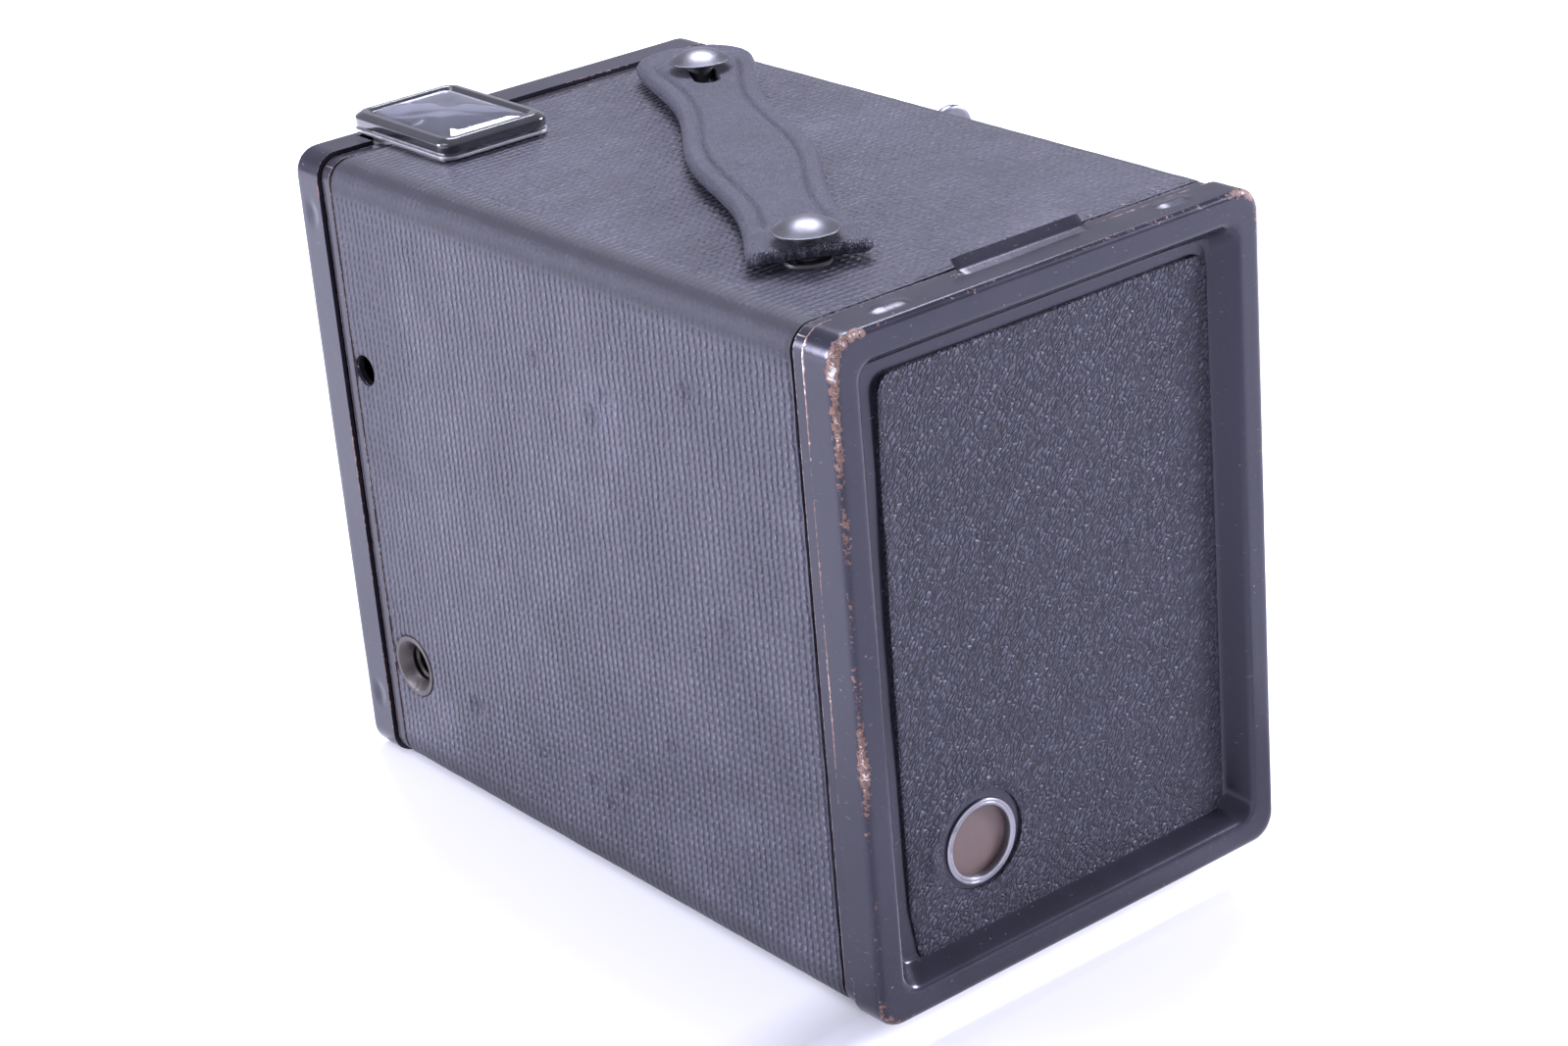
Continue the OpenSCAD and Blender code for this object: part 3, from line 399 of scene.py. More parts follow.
# %% Linen cloth
def linen(name, around_mm, along_mm):
    # The lavender specular tint is painted light: it gives every reflection the lamps' lavender.
    cloth = Finish(name, Specular_IOR_Level=0.55, Specular_Tint=(0.82, 0.81, 1.0))
    at = cloth.place()
    flat = cloth.start("UVMap", {"uv_map": "cloth"})
    wander = at.cloud(3.4, 2, out=1)
    threads = flat.shifted(wander, 0.9)
    rows = (threads.part(0) * (1 / around_mm)).wave()
    columns = (threads.part(1) * (1 / along_mm)).wave()
    fibre = at.cloud(0.5, 4, 0.6)
    slack = at.cloud(2.6, 3)
    broad = at.cloud(13, 3)
    rubbed = cloth.tagged("rubbed")
    kept_grain = 1 - rubbed * 0.9
    lump = columns * (rows * 0.55 + 0.45) * (slack * 1.3 + 0.25)
    height = (lump + (fibre - 0.5) * 0.5) * kept_grain + (fibre - 0.5) * 0.12
    # Painted highlight: the next mask picks the tops of the weave, in broad patches, and there the colour is
    # painted a light lavender in place of the lamps' sheen on them. It also makes them a little glossier.
    wear_and_highlight = (height * 0.7 + broad * 0.6).step(0.62, 1.05) * kept_grain
    scuff = at.cloud(24, 5, 0.62).step(0.52, 0.72) * kept_grain
    # The cloth's black is tinted lavender, a painted tint of the lavender light; broad patches vary it at
    # random.
    dark = broad.shade((0.013, 0.013, 0.019), (0.032, 0.031, 0.045))
    # Darker along the rounded edges, where the grain is rubbed flat.
    darker_on_edges = rubbed.shade(dark, (0.006, 0.006, 0.009))
    # The light lavender is a painted highlight on the weave's tops; the random scuffs take a little of it
    # too.
    cloth.set("Base Color", (wear_and_highlight * 0.6 + scuff * 0.2).shade(darker_on_edges, (0.118, 0.114, 0.160)))
    cloth.set("Roughness", 0.42 - wear_and_highlight * 0.10 + (fibre - 0.5) * 0.15 + rubbed * 0.22)
    cloth.relief(height, 0.5)
    return cloth.material


body_cloth = linen("linen_leathercloth", 1.5, 1.36)
print("cloth:", body_cloth.name)

# %% [markdown]
# ## Pebble-grained leathercloth
#
# The door's panel has another cloth: fine rounded pebbles that run together into short worm-like ridges.
# Cells give the pebbles. Turning the place and then squeezing it, before they are laid, makes the ridges
# lean; that takes two mappings, since one mapping scales before it turns. Noise pushes the cells about
# first, which breaks the straight sides that cells otherwise have.


# %% Pebble cloth
def pebble(name, size_mm, depth_mm, turn):
    # The lavender specular tint is painted light: it gives every reflection the lamps' lavender, and the
    # black below is tinted lavender for the same light.
    cloth = Finish(name, Specular_IOR_Level=0.45, Specular_Tint=(0.82, 0.81, 1.0))
    at = cloth.place()
    pushed = at.shifted(at.cloud(2.4, 2, out=1), 0.0009)
    leaning = pushed.placed(turn=(0, turn, 0)).placed((1.0, 1.0, 0.42))
    grains = leaning.cells(size_mm, "DISTANCE_TO_EDGE").step(0.0, 0.26)
    creases = leaning.placed((1.0, 1.0, 0.7)).cloud(size_mm * 2.6, 3, 0.55)
    drift = creases - 0.5
    lines = 1 - drift.math("ABSOLUTE", drift).step(0.0, 0.035)
    slack = at.cloud(5, 3)
    height = grains * (slack * 0.7 + 0.45) + drift * 0.5 - lines * 0.4
    tops = height.step(0.2, 0.8)
    patch = at.cloud(16, 4)
    # Painted highlight: the pebbles' tops are painted a light lavender in place of the lamps' sheen on them,
    # and random patches lighten it more.
    cloth.set("Base Color", (tops * 0.55 + patch * 0.3).shade((0.008, 0.008, 0.012), (0.062, 0.061, 0.088)))
    cloth.set("Roughness", 0.56 - tops * 0.08)
    cloth.relief(height, depth_mm)
    return cloth.material


door_cloth = pebble("pebble_leathercloth", 0.62, 0.24, 0.85)
strap_grain = pebble("strap_leather", 0.42, 0.09, 0.0)
print("grains:", door_cloth.name, strap_grain.name)

# %% [markdown]
# ## Metals
#
# Nickel that is still bright, nickel that has dulled, the darker nickel of studs and key, plain steel,
# blackened steel, worn brass and spring bronze differ in colour and in how finely they are finished. One
# recipe serves all seven: a metal colour that darkens in patches, hairlines from the polishing wheel, and
# corners softened in the shading, because no real edge is perfectly sharp.


# %% Metal recipe
def metal(name, tint, dull, rough, tarnish, shine=1.0):
    plate = Finish(name)
    at = plate.place()
    patch = at.cloud(2.6, 5, 0.62)
    hair = at.placed((0.15, 1.0, 1.0)).cloud(0.25, 3)
    stain = (patch + (hair - 0.5) * 0.3).step(0.50, 0.74) * tarnish
    plate.set("Base Color", stain.shade(tint, dull))
    plate.set("Metallic", shine - stain * 0.25)
    plate.set("Roughness", rough + (hair - 0.5) * 0.14 + stain * 0.3)
    plate.relief(hair * 0.4 + patch * 0.6, 0.02, 0.22)
    return plate.material


nickel = metal("nickel_plate", (0.48, 0.47, 0.52), (0.20, 0.19, 0.21), 0.2, 0.5)
dull_nickel = metal("dulled_nickel", (0.27, 0.265, 0.30), (0.12, 0.115, 0.12), 0.30, 0.6)
stud_nickel = metal("stud_nickel", (0.125, 0.125, 0.145), (0.07, 0.07, 0.08), 0.36, 0.4)
steel = metal("plain_steel", (0.50, 0.50, 0.54), (0.20, 0.17, 0.16), 0.34, 0.6)
black_steel = metal("blackened_steel", (0.10, 0.10, 0.115), (0.20, 0.13, 0.10), 0.42, 0.35, 0.7)
worn_brass = metal("worn_socket_metal", (0.085, 0.075, 0.075), (0.03, 0.027, 0.03), 0.42, 0.8)
spring_bronze = metal("spring_bronze", (0.62, 0.42, 0.20), (0.30, 0.19, 0.10), 0.3, 0.4)
print("metals: 7")

# %% [markdown]
# ## Inside black, spool enamel, gloss black
#
# The inside is sprayed matt black so that no light strays on to the film, the spool is enamelled dark red,
# and the finders' frames are glossy black with rubbed edges. All three are paint over metal.


# %% Paints
def paint_over_metal(name, tint, rough, rub, gloss=0.0):
    paint = Finish(name, Coat_Roughness=0.08)
    at = paint.place()
    patch = at.cloud(4, 5)
    fine = at.cloud(0.3, 4, 0.6)
    bare = ((edges_of(at, 0.3) * rub) + (fine - 0.5) * 0.8 + (patch - 0.5) * 0.4).step(0.62, 0.75)
    lit = tuple(min(1.0, part * 1.6 + 0.01) for part in tint)
    paint.set("Base Color", bare.shade(patch.shade(tint, lit), (0.42, 0.38, 0.36)))
    paint.set("Metallic", bare * 0.7)
    paint.set("Roughness", rough + (patch - 0.5) * 0.15)
    paint.set("Coat Weight", gloss)
    paint.relief(fine * 0.5 + patch * 0.5, 0.03, 0.3)
    return paint.material


inside_black = paint_over_metal("inside_matt_black", (0.018, 0.018, 0.021), 0.72, 0.5)
spool_red = paint_over_metal("spool_red", (0.16, 0.022, 0.018), 0.38, 0.6)
gloss_black = paint_over_metal("gloss_black", (0.006, 0.006, 0.010), 0.12, 0.12, 1.0)
print("paints: 3")

# %% [markdown]
# ## Glass, mirror and red film
#
# Clear glass is the shader's own transmission, with a trace of dust in its roughness. The mirrors are
# silvered glass with dark spots where the silver has gone. The disc over the film numbers is celluloid,
# deep red when new and browned and hazed by age.


# %% Clear things
def optical_glass(name, dust):
    glass = Finish(name, Base_Color=(0.97, 0.98, 1.0), IOR=1.5, Transmission_Weight=1.0)
    at = glass.place()
    glass.set("Roughness", at.cloud(0.9, 4).step(0.55, 0.8) * dust)
    return glass.material


def old_mirror(name):
    mirror = Finish(name, Metallic=1.0)
    spots = mirror.place().cloud(1.4, 5, 0.65).step(0.70, 0.78)
    mirror.set("Base Color", spots.shade((0.88, 0.89, 0.92), (0.16, 0.15, 0.15)))
    mirror.set("Roughness", 0.04 + spots * 0.4)
    return mirror.material


def browned_film(name):
    film = Finish(name, IOR=1.49)
    at = film.place()
    haze = at.cloud(3.5, 4)
    speck = at.cells(2.3).step(0.09, 0.05) * at.cloud(4, 1).step(0.56, 0.62)
    brown = haze.shade((0.085, 0.050, 0.046), (0.120, 0.080, 0.078))
    film.set("Base Color", speck.shade(brown, (0.5, 0.45, 0.42)))
    film.set("Roughness", 0.36 + (haze - 0.5) * 0.3)
    film.relief(at.cloud(1.1, 3), 0.03)
    return film.material


clear_glass = optical_glass("clear_glass", 0.25)
hazy = Finish("hazy_finder_glass", Base_Color=(0.50, 0.51, 0.62), IOR=1.52, Transmission_Weight=0.94)
hazy.set("Roughness", hazy.place().cloud(1.3, 4).step(0.5, 0.8) * 0.12 + 0.02)
finder_glass = hazy.material
silvered = old_mirror("silvered_mirror")
red_film = browned_film("browned_red_film")
print("clear finishes: 3")

# %% [markdown]
# ## Dressing the frame's own nodes
#
# Most inner parts already have the right shape, so they stay and only get their finish. The table says
# which. What is replaced further down gets a finish as well, since it may still be looked at alone.

# %% Finish of every node
NODE_FINISH = {
    tube_enamel: ["shell_top", "shell_bottom", "shell_socket_side", "shell_key_side", "front_cap",
                  "rear_door"],
    body_cloth: ["body_covering", "front_covering"],
    door_cloth: ["door_covering"],
    strap_grain: ["strap"],
    nickel: ["release_lever"],
    dull_nickel: ["window_ring", "lens_ring", "key_plate"],
    stud_nickel: ["strap_studs", "winding_key"],
    steel: ["stud_washers", "shutter_pivot", "lever_pivot", "stop_slide", "time_slide", "hinge_pin",
            "upper_guide_roller", "lower_guide_roller", "spool_pins", "key_collar", "slide_guides",
            "top_finder_housing", "side_finder_housing"],
    black_steel: ["hinge_leaf", "roller_pins", "shutter_disc", "window_washer"],
    inside_black: ["shutter_board", "film_carrier", "light_cone", "film_gate", "lens_retainer"],
    worn_brass: ["side_tripod_socket", "bottom_tripod_socket"],
    spring_bronze: ["shutter_spring", "spool_springs"],
    clear_glass: ["lens", "top_finder_glass", "top_finder_window", "side_finder_glass",
                  "side_finder_window"],
    gloss_black: ["top_finder_bezel", "side_finder_bezel"],
    silvered: ["top_finder_mirror", "side_finder_mirror"],
    red_film: ["red_window"],
    spool_red: ["take_up_spool"],
}
dressed = set()
for finish, names in NODE_FINISH.items():
    for name in names:
        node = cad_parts[name]
        node.data.materials.clear()
        node.data.materials.append(finish)
        dressed.add(name)
print("dressed", len(dressed), "nodes; left bare:", sorted(set(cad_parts) - dressed))

# %% [markdown]
# ## Mesh helpers
#
# Nearly every shell here is a rounded rectangle pulled along the camera: the cap, the door, the cloth and
# the finder frames. A loop of points gives one such rectangle, and skinning loop after loop gives the
# surface. Thickness comes last, as it does to a sheet of metal when it is bent.


# %% Loops and skins
def steps(count):
    """Fractions from 0 to 1, both ends among them."""
    return [i / count for i in range(count + 1)]


def stations(low, high, pitch, marks=(), fine=(), fine_pitch=0.4):
    """Places from low to high about pitch apart, with the marks among them, and closer in the fine ranges."""
    edges = [*marks, *[edge for pair in fine for edge in pair]]
    ends = sorted({low, high, *[edge for edge in edges if low < edge < high]})
    places = [low]
    for a, b in zip(ends, ends[1:]):
        near = any(start <= a and b <= end for start, end in fine)
        count = max(1, round((b - a) / (fine_pitch if near else pitch)))
        places += [a + (b - a) * (k + 1) / count for k in range(count)]
    return places


def rounded_loop(half, low, high, radius, across, up, turn=8):
    """Points (x, z) round a rounded rectangle; across and up are stations from -1 to 1 along its flats."""
    flat = half - radius
    middle, rise = (low + high) / 2, (high - low) / 2 - radius
    points = [(flat * t, low) for t in across]
    for quarter, (cx, cz) in enumerate([(flat, -rise), (flat, rise), (-flat, rise), (-flat, -rise)]):
        for k in range(1, turn):
            angle = math.radians(90 * (quarter + k / turn) - 90)
            points.append((cx + radius * math.cos(angle), middle + cz + radius * math.sin(angle)))
        if quarter == 0:
            points += [(half, middle + rise * t) for t in up]
        if quarter == 1:
            points += [(flat * t, high) for t in reversed(across)]
        if quarter == 2:
            points += [(-half, middle + rise * t) for t in reversed(up)]
    return points


def skin(loop_count, size, closed=True):
    """Faces between consecutive loops of the same size."""
    faces = []
    for a in range(loop_count - 1):
        for i in range(size if closed else size - 1):
            j = (i + 1) % size
            faces.append((a * size + i, a * size + j, (a + 1) * size + j, (a + 1) * size + i))
    return faces


def bent(corners, pitch):
    """A sheet's section: corners (u, v, radius) become points no further apart than pitch."""
    turns = 6
    path = [Vector(corners[0][:2])]
    for before, here, after in zip(corners, corners[1:], corners[2:]):
        p, a, b = Vector(here[:2]), Vector(before[:2]), Vector(after[:2])
        to_a, to_b = (a - p).normalized(), (b - p).normalized()
        half_angle = to_a.angle(to_b) / 2
        reach = here[2] / math.tan(half_angle)
        centre = p + (to_a + to_b).normalized() * (here[2] / math.sin(half_angle))
        start, end = p + to_a * reach - centre, p + to_b * reach - centre
        sweep = start.angle_signed(end)
        for k in range(turns + 1):
            path.append(centre + start.normalized() @ Matrix.Rotation(sweep * k / turns, 2) * here[2])
    path.append(Vector(corners[-1][:2]))
    fine = [path[0]]
    for a, b in zip(path, path[1:]):
        count = max(1, math.ceil((b - a).length / pitch))
        fine += [a.lerp(b, (k + 1) / count) for k in range(count)]
    return fine


print("a right angle bends in", len(bent([(0, 0, 0), (0, 5, 1), (5, 5, 0)], 1)), "points")

# %% [markdown]
# ## Making an object from points
#
# A mesh's points are given in millimetres, with any value that its finish reads, such as wear. Edges that
# turn by less than an angle are shaded smooth. A piece then rides on its body, and the frame's nodes that it
# stands for are hidden.


# %% Piece maker
def piece(name, points, faces, finish, body, stands_for, sharp=40, values=None, cloth=None):
    """An object on a body: values are kept on its points, and cloth places each point along a cloth."""
    mesh = bpy.data.meshes.new(name)
    mesh.from_pydata([tuple(c * MM for c in p) for p in points], [], faces)
    for label, numbers in (values or {}).items():
        stored = mesh.attributes.new(label, "FLOAT", "POINT")
        stored.data.foreach_set("value", numbers)
    if cloth:
        layer = mesh.uv_layers.new(name="cloth")
        for corner in mesh.loops:
            layer.data[corner.index].uv = cloth[corner.vertex_index]
    mesh.materials.append(finish)
    mesh.validate()
    made = bpy.data.objects.new(name, mesh)
    scene.collection.objects.link(made)
    outward(mesh)
    mesh.shade_smooth()
    mesh.set_sharp_from_angle(angle=math.radians(sharp))
    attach(made, body)
    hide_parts(*stands_for)
    return made


def outward(mesh):
    """Turns every face's front to the outside."""
    work = bmesh.new()
    work.from_mesh(mesh)
    bmesh.ops.recalc_face_normals(work, faces=work.faces)
    work.to_mesh(mesh)
    work.free()


def settle(made, **modifier):
    """Adds one modifier with its settings and keeps its result as the mesh."""
    kind = modifier.pop("kind")
    added = made.modifiers.new("work", kind)
    for name, value in modifier.items():
        setattr(added, name, value)
    result = bpy.data.meshes.new_from_object(made.evaluated_get(bpy.context.evaluated_depsgraph_get()))
    made.modifiers.clear()
    made.data = result
    return made


def drill(made, *cutters):
    """Cuts the cutters' shapes out of a piece, then throws the cutters away."""
    for cutter in cutters:
        settle(made, kind="BOOLEAN", operation="DIFFERENCE", object=cutter, solver="EXACT")
        bpy.data.objects.remove(cutter)
    return made


print("piece maker ready")

# %% [markdown]
# ## Closed sheets from a pattern
#
# Cloth and leather are cut flat, with holes, and have a thickness. Cells whose middle falls in a hole are
# left out, the points round it are moved on to the hole's true edge, and then the front and the back are
# joined by a wall along every edge. That gives clean round holes without boolean cuts.


# %% Sheet with thickness
def edge_walk(faces):
    """The border edges of a patch of faces, each in its face's direction."""
    seen = {}
    for face in faces:
        for a, b in zip(face, face[1:] + face[:1]):
            seen[(a, b)] = seen.get((a, b), 0) + 1
    return [(a, b) for a, b in seen if (b, a) not in seen]


def border_points(faces):
    """The points on the border of a patch of faces."""
    return {i for edge in edge_walk(faces) for i in edge}


def closed_sheet(front, back, faces, rows=1):
    """Points and faces of a sheet with a front and a back, and which of the front's points it keeps."""
    used = sorted({i for face in faces for i in face})
    number = {old: new for new, old in enumerate(used)}
    faces = [tuple(number[i] for i in face) for face in faces]
    count = len(used)
    points = [front[i] for i in used] + [back[i] for i in used]
    solid = list(faces) + [tuple(i + count for i in reversed(face)) for face in faces]
    levels = {}
    for i in border_points(faces):
        levels[i] = [i]
        for k in range(1, rows):
            levels[i].append(len(points))
            a, b = Vector(points[i]), Vector(points[i + count])
            points.append(tuple(a.lerp(b, k / rows)))
        levels[i].append(i + count)
    for a, b in edge_walk(faces):
        for k in range(rows):
            solid.append((levels[b][k], levels[a][k], levels[a][k + 1], levels[b][k + 1]))
    return points, solid, used


def rumple(x, y, z, size):
    """Smooth noise from -1 to 1, with hills about size millimetres apart."""
    return noise.noise(Vector((x, y, z)) / size)


print("sheet maker ready")

# %% [markdown]
# ## Sheets cut to an outline
#
# A flat sheet with a curved outline and holes starts as a fine grid. Cells whose middle lies outside the
# outline are dropped, and the points left on the border slide to the nearest place on the true line.


# %% Cutting to a line
def nearest(point, line):
    """The nearest place to a point on a closed line of corners."""
    best, found = 1e9, point
    for a, b in zip(line, line[1:] + line[:1]):
        run = b - a
        t = max(0.0, min(1.0, (point - a).dot(run) / max(run.length_squared, 1e-9)))
        place = a + run * t
        if (place - point).length < best:
            best, found = (place - point).length, place
    return found


def inside(point, line):
    """Whether a point is inside a closed line: a ray from it crosses the line an odd number of times."""
    odd = False
    for a, b in zip(line, line[1:] + line[:1]):
        if (a.y > point.y) != (b.y > point.y):
            if point.x < a.x + (b.x - a.x) * (point.y - a.y) / (b.y - a.y):
                odd = not odd
    return odd


def circle(cx, cy, radius):
    angles = [math.tau * k / 72 for k in range(72)]
    return [Vector((cx + radius * math.cos(a), cy + radius * math.sin(a))) for a in angles]


def rounded(corners, radius, pitch=1.0):
    """A closed line through corners, each one rounded."""
    ring = [(*c, radius) for c in corners]
    start = (Vector(corners[-1]) + Vector(corners[0])) / 2
    return bent([(*start, 0), *ring, (*start, 0)], pitch)[:-1]


def rounded_box(low, high, radius, pitch=1.0):
    """A closed line round a rectangle, given by two corners, with its own corners rounded."""
    (a0, b0), (a1, b1) = low, high
    return rounded([(a0, b0), (a1, b0), (a1, b1), (a0, b1)], radius, pitch)


def cut_sheet(outline, holes, pitch):
    """Points (x, z) and faces of a flat sheet with this outline and these holes."""
    xs = stations(min(p.x for p in outline), max(p.x for p in outline), pitch)
    zs = stations(min(p.y for p in outline), max(p.y for p in outline), pitch)
    points = [Vector((x, z)) for z in zs for x in xs]
    wide = len(xs)
    faces = []
    for row in range(len(zs) - 1):
        for i in range(wide - 1):
            middle = Vector(((xs[i] + xs[i + 1]) / 2, (zs[row] + zs[row + 1]) / 2))
            if inside(middle, outline) and not any(inside(middle, hole) for hole in holes):
                a = row * wide + i
                faces.append((a, a + 1, a + wide + 1, a + wide))
    for i in border_points(faces):
        options = [nearest(points[i], line) for line in [outline, *holes]]
        points[i] = min(options, key=lambda place: (place - points[i]).length)
    return points, faces


print("sheet cutter ready")

# %% [markdown]
# ## Turned parts and towers
#
# A turned part is a section swept round an axis. A tower is a stack of rounded rectangles, each with its own
# size and height; it serves the finders and the key. Both may close on themselves like a ring.


# %% Lathe and tower
AXES = {
    "x": lambda r, a, h: (h, r * math.cos(a), r * math.sin(a)),
    "y": lambda r, a, h: (r * math.cos(a), h, r * math.sin(a)),
    "z": lambda r, a, h: (r * math.cos(a), r * math.sin(a), h),
}


def closing(rows, size, ring):
    """The faces that close a stack of loops: to itself as a ring, or with a lid at both ends."""
    last = (rows - 1) * size
    if ring:
        return [(last + i, last + (i + 1) % size, (i + 1) % size, i) for i in range(size)]
    return [tuple(range(size)), tuple(reversed(range(last, last + size)))]


def turned_part(section, centre, axis, ring=True, count=72):
    """Points and faces of a section (radius, height) swept round an axis through the centre."""
    points = []
    for r, h in section:
        for k in range(count):
            x, y, z = AXES[axis](r, math.tau * k / count, h)
            points.append((centre[0] + x, centre[1] + y, centre[2] + z))
    return points, skin(len(section), count) + closing(len(section), count, ring)


def tower(levels, place, ring=False, pitch=1.2):
    """Points and faces of stacked rounded rectangles (half a, half b, radius, height)."""
    a_count = max(2, round(2 * levels[0][0] / pitch))
    b_count = max(2, round(2 * levels[0][1] / pitch))
    across = [2 * t - 1 for t in steps(a_count)]
    along = [2 * t - 1 for t in steps(b_count)]
    points, size = [], 0
    for half_a, half_b, radius, h in levels:
        loop = rounded_loop(half_a, -half_b, half_b, radius, across, along, turn=6)
        size = len(loop)
        points += [place(a, b, h) for a, b in loop]
    return points, skin(len(levels), size) + closing(len(levels), size, ring)


def joined(*parts):
    """Several points-and-faces pairs as one."""
    points, faces = [], []
    for more_points, more_faces in parts:
        shift = len(points)
        points += more_points
        faces += [tuple(i + shift for i in face) for face in more_faces]
    return points, faces


print("lathe and tower ready")

# %% [markdown]
# ## The wrapped cloth
#
# One strip of leathercloth goes round the tube and its ends meet under the bottom edge. It has holes for the
# two sockets, the assembly hole, the key and the strap studs, and slots for the finders and the three tabs.
# Its cut edges lie slightly lower than its middle, and the side that was knocked about has small dents.

# %% Cloth round the tube
weave_t = 0.55
cloth_middle = (cloth_low.z + cloth_high.z) / 2
cloth_flat = cloth_high.x - corner_r
cloth_rise = (cloth_high.z - cloth_low.z) / 2 - corner_r
neck_low, neck_high = span("top_finder_housing")
side_neck_low, side_neck_high = span("side_finder_housing")
finder_x = (neck_low.x + neck_high.x) / 2
finder_z = (side_neck_low.z + side_neck_high.z) / 2
neck_half = 9.1
neck_end = 8.7
socket_z = 19.8
hole_z = 71.4
hole_y = -3.0
plate_low, plate_high = span("key_plate")
key_y, key_z = (plate_low.y + plate_high.y) / 2, (plate_low.z + plate_high.z) / 2
middle_y = (front_y + rear_y) / 2
stud_x, stud_y = 21.45, 39.5
round_holes = [
    ("socket_side", 0.0, socket_z, 5.4), ("socket_side", hole_y, hole_z, 2.6), ("bottom", 0.0, 0.0, 5.4),
    ("key_side", key_y, key_z, 3.5), ("top", middle_y - stud_y, -stud_x, 1.8),
    ("top", middle_y + stud_y, stud_x, 1.8),
]
slots = [
    ("top", -20.0, neck_end, finder_x - neck_half, finder_x + neck_half),
    ("key_side", -20.0, neck_end, finder_z - neck_half, finder_z + neck_half),
    ("key_side", -20.0, -5.0, 48.7, 57.3), ("key_side", -3.0, -1.8, 13.2, 18.8),
    ("key_side", -3.0, -1.8, 22.5, 37.5),
]
dents = [
    (60.4, 80.3, 2.3, 0.42), (63.6, 84.4, 1.8, 0.34), (18.2, 18.3, 2.4, 0.42), (50.2, 16.0, 2.0, 0.38),
    (54.2, 13.6, 1.6, 0.32), (58.7, 18.3, 2.5, 0.42), (36.6, 16.3, 1.5, 0.26), (84.0, 90.2, 2.0, 0.34),
    (46.7, 86.0, 1.6, 0.26), (88.5, 55.0, 2.2, 0.22), (31.0, 48.0, 1.8, 0.20), (72.0, 30.0, 2.0, 0.26),
]


def face_spot(x, y, z):
    """The face of the tube that a place is on, and its coordinates along that face."""
    side_x = cloth_high.x - 0.7
    if x > side_x:
        return "socket_side", y, z
    if x < -side_x:
        return "key_side", y, z
    return ("top" if z > cloth_middle else "bottom"), y, x


def in_hole(x, y, z):
    """Whether a place lies in one of the cloth's holes or slots."""
    face, a, b = face_spot(x, y, z)
    near = any(f == face and math.hypot(a - ca, b - cb) < r for f, ca, cb, r in round_holes)
    return near or any(f == face and a0 < a < a1 and b0 < b < b1 for f, a0, a1, b0, b1 in slots)


def to_rim(x, y, z):
    """Slides a border place on to the edge of the round hole beside it."""
    face, a, b = face_spot(x, y, z)
    for f, ca, cb, r in round_holes:
        far = math.hypot(a - ca, b - cb)
        if f == face and 0.01 < far < r + 1.0:
            a, b = ca + (a - ca) * r / far, cb + (b - cb) * r / far
            return (x, a, b) if face.endswith("side") else (b, a, z)
    return x, y, z


cell = 0.8
cloth_ys = stations(cloth_low.y, cloth_high.y, cell, [-5.0, -3.0, -1.8, neck_end], [(-5.8, 6.0)])
side_marks = [13.2, 18.8, 22.5, 37.5, 48.7, 57.3, finder_z - neck_half, finder_z + neck_half]
side_ends = (cloth_low.z + corner_r, cloth_high.z - corner_r)
cloth_zs = stations(*side_ends, cell, side_marks, [(14.0, 25.6), (68.4, 74.4)])
top_marks = [finder_x - neck_half, finder_x + neck_half]
cloth_xs = stations(-cloth_flat, cloth_flat, cell, top_marks, [(-5.8, 5.8)])
across = [x / cloth_flat for x in cloth_xs]
up = [(z - cloth_middle) / cloth_rise for z in cloth_zs]
rim_loop = rounded_loop(cloth_high.x, cloth_low.z, cloth_high.z, corner_r, across, up)
shrunk = (cloth_high.x - weave_t, cloth_low.z + weave_t, cloth_high.z - weave_t, corner_r - weave_t)
under_loop = rounded_loop(*shrunk, across, up)
rim_loop.append(rim_loop[0])
under_loop.append(under_loop[0])
along = [0.0]
for (x0, z0), (x1, z1) in zip(rim_loop, rim_loop[1:]):
    along.append(along[-1] + math.hypot(x1 - x0, z1 - z0))
wide = len(rim_loop)


def rubbed_flat(x, y, z):
    """How far handling has flattened the grain: most along the four rounded edges."""
    over = Vector((abs(x) - cloth_flat, abs(z - cloth_middle) - cloth_rise))
    near_edge = min(1.0, max(0.0, 1 + min(over.x, over.y) / 2.4))
    upper = 1.0 if x > 0 and z > cloth_middle else 0.65
    front_spot = max(0.0, 1 - math.hypot(x - 32, y - 2) / 13) * (0.8 if z > cloth_middle else 0.2)
    return min(1.0, max(near_edge * upper * (1.0 + 0.3 * rumple(x, y, z, 5.0)), front_spot))


front, back, cloth_place, flattening = [], [], [], []
for y in cloth_ys:
    for (x, z), (bx, bz), s in zip(rim_loop, under_loop, along):
        front.append((x, y, z))
        back.append((bx, y, bz))
        cloth_place.append((s, y))
        flattening.append(rubbed_flat(x, y, z))
kept = []
for face in skin(len(cloth_ys), wide, closed=False):
    middle = [sum(front[i][axis] for i in face) / 4 for axis in range(3)]
    if not in_hole(*middle):
        kept.append(face)
border = border_points(kept)
for i in border:
    front[i] = to_rim(*front[i])
    back[i] = to_rim(*back[i])
for i, (p, q) in enumerate(zip(front, back)):
    x, y, z = p
    outside = (Vector(p) - Vector(q)).normalized()
    drop = 0.05 - 0.05 * rumple(x, y, z, 7.0) - 0.03 * rumple(x + 9, y, z, 2.2)
    if x > cloth_high.x - 0.3:
        for dy, dz, size, depth in dents:
            far = math.hypot(y - dy, z - dz) / size
            drop += depth * (max(0.0, 1 - far * far) ** 1.5 - 0.25 * max(0.0, 1 - abs(far - 1.15) * 4))
    if i in border:
        drop += 0.16
    moved = Vector(p) - outside * max(0.0, drop)
    if i in border and (abs(y - cloth_low.y) < 0.01 or abs(y - cloth_high.y) < 0.01):
        moved.y += 0.22 * rumple(x, 3.0, z, 4.0) * (1 if y < middle_y else -1)
    front[i] = tuple(moved)
points, faces, used = closed_sheet(front, back, kept)
laid = [cloth_place[i] for i in used] * 2
